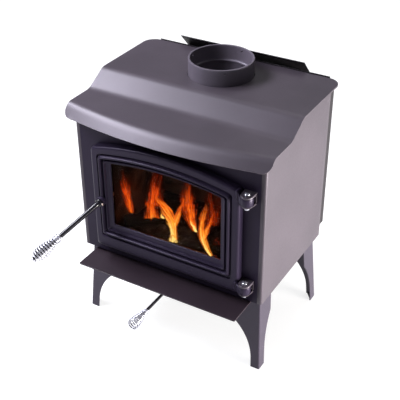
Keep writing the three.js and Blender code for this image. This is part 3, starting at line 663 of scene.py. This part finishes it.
# ---------- door
def arch_loop(w, bottom, arch, drop, corner, y):
    """An arched doorway outline at depth y, with the same number of points for every size."""
    radius = (w ** 2 + drop ** 2) / (2 * drop)
    side = arch - drop
    start = acos((w - corner) / radius)
    centre = arch - radius
    shoulder = centre + radius * sin(start)

    def turn(*corners):
        return [tuple(curve(*three, t) for three in zip(*corners)) for t in spread(0, 1, 6)[1:-1]]

    half = [(x, bottom) for x in spread(0, w - corner, 8)]
    half += turn((w - corner, bottom), (w, bottom), (w, bottom + corner))
    half += [(w, z) for z in spread(bottom + corner, side - corner, 12)]
    half += turn((w, side - corner), (w, side), (w - corner, shoulder))
    half += [(radius * cos(a), centre + radius * sin(a)) for a in spread(start, pi / 2, 20)]
    return [at(x, y, z) for x, z in mirrored(half)]


# half width, bottom, arch, drop and corner, from the rim of the casting in to the glass opening
OUTLINES = [
    (205, 240, 556, 29, 11), (181, 284.5, 528, 19, 8), (167, 297.5, 513, 16.5, 6), (153, 313, 504, 14, 5),
]


def door_loop(w, y):
    for a, b in zip(OUTLINES, OUTLINES[1:]):
        if b[0] <= w <= a[0]:
            t = (a[0] - w) / (a[0] - b[0])
            rest = [p + (q - p) * t for p, q in zip(a[1:], b[1:])]
            return arch_loop(w, *rest, y)


def door_casting():
    edge, rim, glass = 6, OUTLINES[0][0], OUTLINES[-1][0]
    quarter = [(edge - on, up) for on, up in (around(a, edge) for a in spread(0, 90, 6))]
    loops = [door_loop(rim, -2)]
    loops += [door_loop(rim - inset, -16 - rise) for inset, rise in quarter]
    loops += [door_loop(w, y) for w, y in (
        (196, -22), (190, -22), (187.2, -22), (186.6, -21.4), (186.1, -17.6), (185.2, -16.8),
        (183.4, -16.8), (182.6, -17.8), (182, -22.5), (180.8, -25.4), (179.4, -26.8), (178, -27.2),
        (176.7, -26.8), (175.4, -25.2), (174.6, -22), (174, -17.4), (173, -16), (170.6, -15.8),
        (169.8, -17.2), (169.2, -20.6), (168.4, -22), (167.2, -22.3), (166.1, -21.6), (165.4, -19),
        (164.6, -16.2), (163.2, -15.4), (156.6, -13.2), (155.6, -13.4), (154.6, -13.2), (153.4, -12.2),
        (glass, -11.4), (glass, -10),
    )]
    loops += [arch_loop(*numbers) for numbers in (
        (166, 300, 516, 18, 6, -10), (166, 300, 516, 18, 6, -2),
        (186.5, 259, 528, 24, 6, -2), (186.5, 259, 528, 24, 6, -12),
        (199.5, 246, 541, 27, 6, -12), (199.5, 246, 541, 27, 6, -2),
    )]
    return loft(loops, joined=True)


def rounded_box(a, b, c, d, radius):
    """A rounded rectangle from a to b and c to d."""
    section = []
    for x, z, start in ((b - radius, d - radius, 0), (a + radius, d - radius, 90),
                        (a + radius, c + radius, 180), (b - radius, c + radius, 270)):
        for right, up in (around(a, radius) for a in spread(start, start + 90, 4)):
            section.append((x + right, z + up))
    return section


def hinge_ear(down):
    """The arm that sweeps off the door's corner, past a raised collar, to a round knuckle."""
    top, ear = HINGE.top - down, HINGE.ear
    middle = top - ear / 2
    lift = 8 if down == 0 else 2
    loops = []
    for x, half, rise, front in (
        (194, 11.5, 1, -23), (197.5, 12.6, 1, -24.6), (199.5, 13.4, 1, -27.6), (201.5, 13.6, 1, -28.4),
        (203.2, 13.2, 0.95, -27.6), (204.6, 12.2, 0.8, -27), (207, 11.2, 0.5, -29), (211, 10.4, 0.15, -31.6),
        (216, 10, 0, -33), (HINGE.x, 9.9, 0, -33.6),
    ):
        centre = middle + lift * rise
        section = rounded_box(front, -9, centre - half, centre + half, 3)
        loops.append([at(x, y, z) for y, z in section])
    arm = flip(*loft(loops, capped=True))
    r = HINGE.radius
    edge, bore = [(1.2, 0), (0.35, 0.35), (0, 1.2)], HINGE.bore
    profile = [(bore, 0)] + [(r - a, b) for a, b in edge]
    profile += [(r - a, ear - b) for a, b in reversed(edge)] + [(bore, ear)]
    knuckle = lathe(profile, at(HINGE.x, HINGE.y, top - ear), (0, 0, 1), 56, closed=True)
    return arm, knuckle


def hinge_bracket(down):
    """A clevis on the front plate: a web and two lugs with the knuckle between them."""
    x, r, lug = HINGE.x, HINGE.radius, HINGE.lug
    top = HINGE.top - down + HINGE.clear
    foot = HINGE.top - HINGE.ear - HINGE.clear - down
    high, low = top + lug, foot - lug

    def outline(radius, z):
        turns = (around(a, radius) for a in spread(180, 360, 28))
        front = [(x + right, HINGE.y + up) for right, up in turns]
        return [at(*spot, z) for spot in front + [(x + r, -8), (x + r, -GAP), (x - r, -GAP), (x - r, -8)]]

    upper = [(r - 0.6, top), (r, top + 0.5), (r, high - 1.6), (r - 0.5, high - 0.5), (r - 1.6, high)]
    lower = [(r - 4, low), (r - 2.6, low + 0.4), (r - 0.6, foot - 2.4), (r, foot - 1.2), (r, foot)]
    parts = [loft([outline(*spot) for spot in stack], capped=True) for stack in (upper, lower)]
    web = rounded_box(x - r, x + r, low + 1, high - 1, 1.5)
    parts.append(loft([[at(x, y, z) for x, z in web] for y in (-GAP, -3.8)], capped=True))
    return merge(*parts)


def hinge_pin(down):
    top = HINGE.top + HINGE.clear + HINGE.lug + GAP - down
    tall = HINGE.ear + 2 * HINGE.clear + 2 * HINGE.lug + 4
    head, rise, pin = 6.6, 3.1, HINGE.pin
    dome = [(head * on, 1.4 + rise * up) for on, up in (around(a) for a in (0, 15, 30, 45, 60, 75, 86))]
    profile = [(pin, -tall), (pin, 0), (head - 0.3, 0), (head, 0.3)] + dome
    return lathe(profile, at(HINGE.x, HINGE.y, top), (0, 0, 1), 40)


def hinge_nut(down):
    seat = HINGE.top - HINGE.ear - HINGE.clear - HINGE.lug - GAP - down
    washer = [(HINGE.bore, 0), (8.8, 0), (9.2, -0.4), (9.2, -1.7), (8.8, -2.2)]
    cap = [(6, -2.2), (6.5, -2.8), (6.5, -6), (5.6, -7.2), (0.5, -7.4)]
    return lathe((washer + cap)[::-1], at(HINGE.x, HINGE.y, seat), (0, 0, 1), 40)


# ---------- handles
def coil(start, direction, length, turns, radius_at, pitch_at, wire, steps=26, sides=12):
    """A wire wound about a line. radius_at and pitch_at take the share of the turns, 0 to 1.
    The wire's end is drawn thinner, and the third result is painted shade for the wire's inner side: how far
    each point faces the line."""
    along = direction.normalized()
    across = Vector((0, 0, 1)).cross(along).normalized()
    third = along.cross(across)
    total = int(turns * steps)
    path, radii, shade = [], [], []
    for i in range(total + 1):
        t = i / total
        a = t * turns * 2 * pi
        out = across * cos(a) + third * sin(a)
        path.append(start + along * length * pitch_at(t) * MM + out * radius_at(t) * MM)
        radii.append(wire * (1 - 0.3 * max(0, (t - 0.95) / 0.05)))
    points, faces = tube(path, radii, sides)
    for i, spot in enumerate(points):
        line = start + along * (spot - start).dot(along)
        middle = path[i // sides]
        inward = (middle - spot).normalized().dot((spot - line).normalized())
        # painted shade: the side of the wire that faces the rod is given a darker colour
        shade.append(min(max(0.34 + inward * 1.5, 0), 1))
    return points, faces, shade


def grip_shape(slim, fat, end, neck, peak):
    """Radius of a grip along its turns: a straight neck, a swell up to the peak, and a closed end."""
    def radius(t):
        if t < neck:
            return slim
        if t < peak:
            return slim + (fat - slim) * sin((t - neck) / (peak - neck) * pi / 2) ** 1.25
        return end + (fat - end) * cos((t - peak) / (1 - peak) * pi / 2) ** 0.9
    return radius


def grip_pitch(neck, tight):
    """Distance along a grip: the turns of the neck lie against each other, and the rest are open."""
    def pitch(t):
        return t / neck * tight if t < neck else tight + (t - neck) / (1 - neck) * (1 - tight)
    return pitch


def build_latch_handle():
    x, z, rod = LATCH.x, LATCH.z, LATCH.rod
    base, tip = at(x, -40, z), at(*HANDLE_TIP)
    along = (tip - base).normalized()
    start, corner = at(x, -35.2, z), at(x, -42.5, z)
    after = corner + along * 9 * MM
    path = [at(x, 16.5, z), at(x, -10, z), at(x, -34.8, z), start]
    radii = [5, 5, 5, rod - 0.4]
    for t in spread(0.1, 1, 9):
        path.append(curve(start, corner, after, t))
        radii.append(rod)
    length = (tip - after).length / MM
    for d in (20, 60, 100, length - 30, length - 15.2, length - 14.2):
        path.append(after + along * d * MM)
        radii.append(rod)
    radii[-1] = rod - 0.8
    profile = [(6.4, 0), (9.6, 0), (10.3, 0.6), (10.3, 4.6), (9.4, 5.6), (6.4, 5.6)]
    hub = lathe(profile, at(x, -34.3, z), (0, -1, 0), 40, closed=True)
    stand_in("handle_rod", merge(tube(path, radii, 32), hub), "black_rod", "latch_handle", sharp=40)
    head = [(0.6, -3.4), (2.2, -3.2), (2.7, -2.6), (2.7, -0.4), (2.4, 0), (0.6, 0)]
    screw = lathe(head, at(x + 10, -38, z + 0.5), (-0.9, 0.3, -0.2), 20)
    piece("handle_set_screw", *screw, "bare_steel", "latch_handle", sharp=40)
    begins, length = 126, (tip - base).length / MM
    *wire, shade = coil(base + along * begins * MM, along, length - begins, 13.5,
                        grip_shape(8.8, 16.4, 3.4, 0.25, 0.7), grip_pitch(0.25, 0.17), 2.2)
    # the grip carries its painted shade as the inner value
    stand_in("handle_grip", wire, "chrome", "latch_handle", sharp=60, values={"inner": shade})


def build_air_control():
    z, end, r = AIR.z, AIR.end, AIR.radius
    spots = [(y, r) for y in (86, 60, 0, -60, -100, end + 36)] + [(end + 34.6, r - 0.1), (end + 34, r - 0.8)]
    rod = tube([at(0, y, z) for y, _ in spots], [radius for _, radius in spots])
    stand_in("air_control_rod", rod, "black_rod", "air_control", sharp=40)
    *wire, shade = coil(at(0, AIR.start, z), Vector((0, -1, 0)), AIR.start - end, 10.5,
                        grip_shape(6.2, 13, 6, 0.24, 0.9), grip_pitch(0.24, 0.17), 1.8)
    # the air grip's painted shade on the inner side of the wire is kept lighter
    shade = [0.45 * dark for dark in shade]
    stand_in("air_control_grip", wire, "chrome", "air_control", sharp=60, values={"inner": shade})


# ---------- fire
def log_mesh(start, end, radius, seed, sides=40, rings=46):
    """A burnt split log: a lumpy section with cracks that run along the grain, and broken ends."""
    start, end = at(*start), at(*end)
    along = (end - start).normalized()
    across = along.orthogonal().normalized()
    third = along.cross(across)
    shift = Vector((seed * 3.1, seed * 1.7, seed * 2.3))
    loops = []
    for j in range(rings + 1):
        t = j / rings
        spot = start.lerp(end, t)
        close = min(t, 1 - t) * rings
        cap = 1 if close >= 2 else (0.55, 0.86)[int(close)]
        push = 0.004 * (0.5 - noise.noise(shift + Vector((t * 3, 0, 0))))
        ring = []
        for i in range(sides):
            a = 2 * pi * i / sides
            facet = 1 - 0.16 * abs(sin(a * 1.5 + seed)) ** 2
            grain = noise.noise(shift + Vector((cos(a) * 6, sin(a) * 6, t * 2.2))) * 0.14
            lump = noise.noise(shift + Vector((cos(a) * 1.3, sin(a) * 1.3, t * 5))) * 0.16
            r = radius * MM * (facet + grain + lump) * cap
            ring.append(spot + along * push + (across * cos(a) + third * sin(a)) * r)
        loops.append(ring)
    return loft(loops, capped=True)


def charred():
    """Charcoal split into little blocks, ashy along their ridges and glowing in the deep cracks."""
    made = Finish("burning_log", Roughness=0.9)
    coarse = made.cells(60, "DISTANCE_TO_EDGE", made.stretch(1, 1, 1.6))
    blocks = made.cells(130, "DISTANCE_TO_EDGE")
    glow = made.noise(14, 4, 0.6)
    ash = made.noise(50, 5, 0.65)
    low = made.range(made.axis("Z"), 0.25, 0.28, 0.08, 0.0)
    made.color(made.ramp(
        ash, (0.5, (0.008, 0.007, 0.007)), (0.66, (0.02, 0.018, 0.018)), (0.85, (0.1, 0.095, 0.09))))
    crack = made.range(coarse, 0.0, 0.06, 1.0, 0.0)
    heat = made.range(made.plus(glow, low), 0.64, 0.8)
    fire = made.times(crack, heat)
    made.glow(1.4, fire, (0.05, (0, 0, 0)), (0.5, (0.55, 0.03, 0.0)), (1.0, (1.0, 0.25, 0.03)))
    made.bump(made.range(blocks, 0.0, 0.12), 0.002, 0.8)
    return made.material


def embers():
    made = Finish("ember_bed", Roughness=0.95)
    lumps = made.cells(75)
    edges = made.cells(75, "DISTANCE_TO_EDGE")
    ash = made.noise(35, 5, 0.6)
    glow = made.noise(9, 3, 0.55)
    made.color(made.ramp(
        ash, (0.38, (0.012, 0.01, 0.01)), (0.6, (0.05, 0.045, 0.042)), (0.8, (0.16, 0.15, 0.14))))
    crack = made.range(edges, 0.0, 0.14, 1.0, 0.0)
    right = made.range(made.axis("X"), -0.06, 0.14, -0.12, 0.06)
    heat = made.range(made.plus(glow, right), 0.57, 0.78)
    fire = made.times(crack, heat)
    made.glow(1.3, fire, (0.02, (0, 0, 0)), (0.45, (0.4, 0.02, 0.0)), (1.0, (1.0, 0.2, 0.02)))
    under = made.bump(made.range(lumps, 0.0, 0.6, 1.0, 0.0), 0.006, 0.8)
    made.bump(ash, 0.002, 0.6, under)
    return made.material


def ember_bed():
    """Coals heaped on the floor bricks, deepest in the middle."""
    width, depth = 2 * BED.x, BED.rear - BED.front
    columns, rows = 90, 60
    loops = []
    for v in spread(0, 1, rows):
        loop = []
        for u in spread(0, 1, columns):
            edge = min(u, 1 - u, v, 1 - v) * 8
            heap = min(edge, 1) * (7 + 16 * sin(pi * u) * sin(pi * v))
            spot = Vector((u * 22, v * 14, 3.7))
            lumps = noise.noise(spot) * 6 + abs(noise.noise(spot * 2.7)) * 7
            z = BED.floor + max(heap * 0.6 + lumps * min(edge, 1), 0)
            loop.append(at(width * u - BED.x, BED.front + depth * v, z))
        loops.append(loop)
    return loft(loops, strip=True)


def flame_finish(name, hot, seed, thin=0.0):
    """Fire on a thin sheet: `across` runs -1 to 1 and `rise` 0 to 1, and heat falls from the base."""
    made = Finish(name, (0, 0, 0), Roughness=1.0, Specular_IOR_Level=0.0)
    across, rise = made.held("across"), made.held("rise")
    spot = made.node("CombineXYZ")
    made.feed(spot.inputs[0], across)
    made.feed(spot.inputs[1], made.plus(rise, seed))
    made.feed(spot.inputs[2], seed * 1.7)
    spot = spot.outputs[0]
    curl = made.noise(1.0, 3, 0.55, made.stretch(1.2, 4.6, 1, spot))
    streak = made.noise(1.0, 5, 0.62, made.stretch(5.5, 2.4, 1, spot), 0.9)
    thread = made.noise(1.0, 4, 0.6, made.stretch(15.0, 3.0, 1, spot), 1.2)
    lick = made.times(made.math("SUBTRACT", curl, 0.5), made.range(rise, 0.0, 0.6, 0.5, 1.9))
    off = made.math("ABSOLUTE", made.plus(across, lick))
    body = made.math("SUBTRACT", 1.0, made.math("DIVIDE", off, made.range(rise, 0.2, 1.0, 0.95, 0.5)))
    rough = made.times(made.math("SUBTRACT", streak, 0.5), made.range(rise, 0.0, 0.7, 0.9, 2.1))
    body = made.plus(body, rough)
    edge = made.range(made.math("ABSOLUTE", across), 0.72, 1.0, 1.0, 0.0, True)
    ends = made.times(made.range(rise, 0.0, 0.05), made.range(rise, 0.55, 1.0, 1.0, 0.0, True))
    mask = made.times(made.range(body, 0.02, 0.75, smooth=True), made.times(edge, ends))
    grain = made.range(thread, 0.4, 0.56, 0.35, 1.0)
    made.set("Alpha", made.times(made.times(mask, grain), 0.95 - thin))
    core = made.range(body, 0.0, 1.3, 0.0, 0.42)
    heat = made.plus(core, made.range(rise, 0.0, 1.0, hot, hot - 0.4))
    heat = made.plus(heat, made.times(made.math("SUBTRACT", thread, 0.5), 0.9))
    made.glow(
        2.4, heat, (0.05, (0.02, 0.001, 0.0)), (0.25, (0.14, 0.009, 0.001)), (0.45, (0.5, 0.038, 0.003)),
        (0.65, (0.92, 0.14, 0.009)), (0.84, (1.0, 0.38, 0.03)), (1.0, (1.0, 0.7, 0.2)))
    return made.material


def along_line(spots, t):
    """A smooth point at 0 to 1 along a few given ones."""
    place = t * (len(spots) - 1)
    k = min(int(place), len(spots) - 2)
    f = place - k
    before, a, b, after = spots[max(k - 1, 0)], spots[k], spots[k + 1], spots[min(k + 2, len(spots) - 1)]
    return 0.5 * (2 * a + (b - before) * f + (2 * before - 5 * a + 4 * b - after) * f * f
                  + (3 * a - before - 3 * b + after) * f ** 3)


def flame(name, foot, line, widths, hot, seed, thin=0.0):
    """Two crossed sheets that rise from a foot along (sideways, up) steps, as wide as given on the way."""
    facing = Vector((0.863, 0.506, 0))
    up = Vector((0, 0, 1))
    start = at(*foot)
    spots = [start] + [start + (facing * side + up * rise) * MM for side, rise in line]
    wide = [Vector((w, 0, 0)) for w in widths]
    parts, across_values, rise_values = [], [], []
    rows, columns = 40, 12
    for direction, share in ((facing, 1.0), (Vector((-facing.y, facing.x, 0)), 0.7)):
        depth = up.cross(direction)
        loops = []
        for j in range(rows + 1):
            t = j / rows
            middle, width = along_line(spots, t), along_line(wide, t).x * share
            loop = []
            for i in range(columns + 1):
                u = i / columns * 2 - 1
                fold = noise.noise(Vector((u * 1.6, t * 3, seed + share))) * width * 0.2
                loop.append(middle + (direction * (u * width / 2) + depth * fold) * MM)
                across_values.append(u)
                rise_values.append(t)
            loops.append(loop)
        parts.append(loft(loops, strip=True))
    values = {"across": across_values, "rise": rise_values}
    look = flame_finish(name, hot, seed, thin)
    return piece(name, *merge(*parts), None, values=values, sharp=0, material=look)


def build_fire():
    wood = charred()
    logs = [
        ("log_left", (-186, 74, 264), (-86, 132, 268), 17, 1.3),
        ("log_right", (80, 82, 256), (-20, 118, 336), 12, 2.9),
        ("log_front", (0, 60, 262), (150, 96, 262), 13, 5.2),
        ("log_rear", (-150, 196, 266), (150, 214, 268), 20, 4.1),
    ]
    for name, start, end, radius, seed in logs:
        piece(name, *log_mesh(start, end, radius, seed), None, sharp=50, material=wood)
    piece("ember_bed", *ember_bed(), None, sharp=60, material=embers())
    flames = [
        ("left", (-173, 92, 280), [(-6, 32), (-12, 64), (-16, 98), (-18, 140)],
         (18, 30, 46, 44, 24), 0.34, 1.0, 0.15),
        ("left_centre", (-108, 92, 284), [(0, 34), (3, 66), (8, 104), (14, 160)],
         (52, 46, 44, 42, 26), 0.4, 2.0, 0.05),
        ("behind_left", (-134, 150, 280), [(0, 50), (8, 100), (14, 150)], (60, 64, 50, 40), 0.1, 2.7, 0.4),
        ("centre", (-29, 75, 248), [(-1, 34), (-5, 66), (-18, 98), (-40, 130), (-58, 176)],
         (28, 20, 32, 50, 46, 20), 0.64, 3.0),
        ("centre_heart", (-33, 71, 270), [(-3, 24), (-14, 54), (-32, 92)], (12, 14, 24, 10), 0.86, 3.5),
        ("centre_base", (-30, 66, 246), [(0, 12), (-1, 26), (-2, 48)], (38, 32, 16, 6), 1.0, 3.9),
        ("centre_branch", (-30, 77, 296), [(8, 30), (18, 58), (30, 92)], (18, 24, 20, 10), 0.6, 4.0),
        ("small_left", (-66, 80, 306), [(-3, 8), (-4, 20)], (16, 12, 5), 0.9, 4.4),
        ("small_right", (37, 72, 304), [(-5, 14), (-12, 28), (-17, 44)], (11, 15, 10, 4), 0.95, 4.7),
        ("right_centre", (22, 90, 290), [(-8, 34), (-14, 70), (-14, 108), (-10, 160)],
         (18, 34, 54, 60, 50), 0.46, 5.0),
        ("behind_right", (40, 150, 280), [(0, 50), (-6, 100), (-6, 160)], (60, 70, 76, 60), 0.1, 5.6, 0.4),
        ("right", (86, 68, 248), [(-14, 28), (-25, 64), (-26, 98), (-20, 132), (-14, 166)],
         (14, 20, 27, 28, 28, 12), 0.66, 6.0),
        ("right_heart", (85, 65, 250), [(-14, 26), (-25, 60), (-26, 96)], (8, 12, 14, 5), 0.9, 6.3),
        ("right_tongue", (60, 72, 292), [(8, 28), (18, 56), (26, 88)], (14, 20, 18, 10), 0.55, 6.6),
    ]
    for title, *settings in flames:
        flame(f"flame_{title}", *settings)


# ---------- build
def assign_finishes():
    violet = (0.86, 0.76, 1)
    paints = {
        "stove_paint": ((0.036, 0.029, 0.0365), 0.42, dict(gloss=0.4, sheen=(0.96, 0.9, 1))),
        "leg_paint": ((0.025, 0.02, 0.031), 0.42, dict(gloss=0.34, sheen=(0.9, 0.84, 1))),
        "dark_plate": ((0.01, 0.008, 0.01), 0.5, dict(gloss=0.2)),
        "cast_iron": ((0.0125, 0.009, 0.019), 0.34, dict(cast=1.0, gloss=0.16, sheen=violet)),
        # a copy of the stove paint about three times darker: painted shade for the front, which faces away
        # from the lamps
        "front_paint": ((0.0115, 0.008, 0.0175), 0.42, dict(gloss=0.14, sheen=violet)),
        # a darker copy of the stove paint: painted shade for the ash lip, which sits in shadow under the
        # door and the top
        "lip_paint": ((0.021, 0.014, 0.019), 0.36, dict(gloss=0.24)),
        "collar_iron": ((0.064, 0.054, 0.069), 0.46, dict(cast=1.2, sheen=(0.92, 0.88, 1))),
        "black_rod": ((0.008, 0.007, 0.01), 0.2, dict(grain=0.3, gloss=0.4)),
    }
    for name, (color, rough, more) in paints.items():
        SLOTS[name] = paint(name, color, rough, **more)
    SLOTS.update(
        bare_steel=steel((0.3, 0.27, 0.24), 0.4), chrome=chrome(), door_glass=glass(),
        firebrick=firebrick(), fibre_board=fibre_board(), rope=rope(),
    )
    finish_of = {part["node"]: part["material_slot"] for part in frame["record"]["subparts"]}
    for name, node in frame["nodes"].items():
        node.data.materials.clear()
        node.data.materials.append(SLOTS[finish_of[name]])


def build_casing():
    stand_in("top_plate", convection_top(), "stove_paint", thick=TOP.sheet, bevel=1.3, sharp=60)
    for title, side in (("left", -1), ("right", 1)):
        stand_in(f"{title}_side_panel", side_panel(side), "stove_paint", thick=SHEET)
    for name, mesh in (("rear_heat_shield", heat_shield()), ("rear_air_duct", air_duct())):
        stand_in(name, mesh, "dark_plate", thick=SHEET, bevel=0.5, sharp=60)
    carve(stand_in("flue_collar", collar(), "collar_iron", sharp=38), screw_holes(), 38)
    # the front plate wears the darker copy of the stove paint as painted shade
    stand_in("front_plate", front_plate(), "stove_paint", material=SLOTS["front_paint"])
    # the ash lip wears the darker copy of the stove paint as painted shade
    stand_in("ash_lip", ash_lip(), "stove_paint", bevel=0.9, sharp=50, material=SLOTS["lip_paint"])
    for title, side_x, side_y in (("front_left", -1, -1), ("front_right", 1, -1),
                                  ("rear_left", -1, 1), ("rear_right", 1, 1)):
        name, look = f"leg_{title}", SLOTS["leg_paint"]
        shell, extras = leg(side_x, side_y)
        stand_in(name, shell, "stove_paint", thick=LEG.sheet, bevel=0.6, sharp=60, material=look)
        piece(f"{name}_foot", *extras, "stove_paint", bevel=0.5, sharp=50, material=look)


def build_door():
    levels = (("upper", 0), ("lower", HINGE.lower))
    parts = [door_casting()]
    for _, down in levels:
        parts += hinge_ear(down)
    boss = [(12, 0), (12, 10.5), (11.5, 11.6), (10.4, 12), (5.6, 12)]
    parts.append(lathe(boss, at(LATCH.x, -22, LATCH.z), (0, -1, 0), 48))
    stand_in("door_frame", merge(*parts), "cast_iron", "door", sharp=38)
    for level, down in levels:
        stand_in(f"hinge_bracket_{level}", hinge_bracket(down), "stove_paint", bevel=0.8, sharp=50)
        stand_in(f"hinge_pin_{level}", hinge_pin(down), "chrome", sharp=40)
        stand_in(f"hinge_nut_{level}", hinge_nut(down), "chrome", sharp=40)


# ---------- light and camera
def stage():
    half = 14
    corners = [(-half, -half, 0), (half, -half, 0), (half, half, 0), (-half, half, 0)]
    mesh = mesh_of("floor", corners, [(0, 1, 2, 3)])
    floor = add("floor", mesh)
    made = Finish("floor", (0.3, 0.3, 0.3), Roughness=0.95, Specular_IOR_Level=0.1)
    made.color(made.ramp(made.noise(2, 2), (0.4, (0.28, 0.28, 0.28)), (0.6, (0.31, 0.31, 0.31))))
    made.set("Emission Color", (1, 1, 1))
    made.set("Emission Strength", 0.8)
    mesh.materials.append(made.material)


def area_light(name, place, target, size, power, color=(1, 1, 1)):
    data = bpy.data.lights.new(name, "AREA")
    data.shape = "RECTANGLE"
    data.size, data.size_y = size
    data.energy = power
    data.color = color
    made = add(name, data)
    made.location = place
    made.rotation_euler = (Vector(target) - Vector(place)).to_track_quat("-Z", "Y").to_euler()


def light():
    world = bpy.data.worlds.new("studio")
    bpy.context.scene.world = world
    world.use_nodes = True
    tree = world.node_tree
    room = tree.nodes["Background"]
    room.inputs["Color"].default_value = (0.93, 0.95, 1.0, 1)
    room.inputs["Strength"].default_value = 0.16
    wall = tree.nodes.new("ShaderNodeBackground")
    wall.inputs["Color"].default_value = (1, 1, 1, 1)
    seen = tree.nodes.new("ShaderNodeLightPath").outputs["Is Camera Ray"]
    choice = tree.nodes.new("ShaderNodeMixShader")
    tree.links.new(seen, choice.inputs["Fac"])
    tree.links.new(room.outputs[0], choice.inputs[1])
    tree.links.new(wall.outputs[0], choice.inputs[2])
    tree.links.new(choice.outputs[0], tree.nodes["World Output"].inputs["Surface"])
    cool, warm = (0.9, 0.91, 1.0), (1.0, 0.95, 0.92)
    area_light("above_left", (-1.55, -0.45, 2.25), (-0.1, -0.1, 0.6), (1.9, 0.7), 150, cool)
    area_light("front_left", (-1.25, -1.05, 1.75), (-0.1, -0.1, 0.5), (0.7, 0.7), 22, cool)
    area_light("right", (1.9, 0.15, 0.14), (0.26, -0.05, 0.14), (0.9, 0.4), 175, warm)
    area_light("back", (0.2, 1.4, 2.6), (0, 0, 0.45), (2.2, 1.6), 20)
    bpy.context.scene.view_settings.view_transform = "Standard"


# place in metres, angles in radians
CAMERA = Sizes(place=(0.9504, -1.55595, 1.5527), yaw=-0.5301, pitch=0.5722, roll=0.0037, lens=78.12)


def camera():
    data = bpy.data.cameras.new("camera")
    data.sensor_width = 36
    data.lens = CAMERA.lens
    made = add("camera", data)
    yaw, pitch = CAMERA.yaw, CAMERA.pitch
    ahead = Vector((sin(yaw) * cos(pitch), cos(yaw) * cos(pitch), -sin(pitch)))
    right = Vector((cos(yaw), -sin(yaw), 0))
    up = right.cross(ahead)
    turn = Matrix.Rotation(CAMERA.roll, 3, ahead)
    turned = Matrix((turn @ right, turn @ up, -ahead)).transposed()
    made.matrix_world = Matrix.Translation(CAMERA.place) @ turned.to_4x4()
    bpy.context.scene.camera = made


assign_finishes()
build_casing()
build_door()
build_latch_handle()
build_air_control()
build_fire()
stage()
light()
camera()
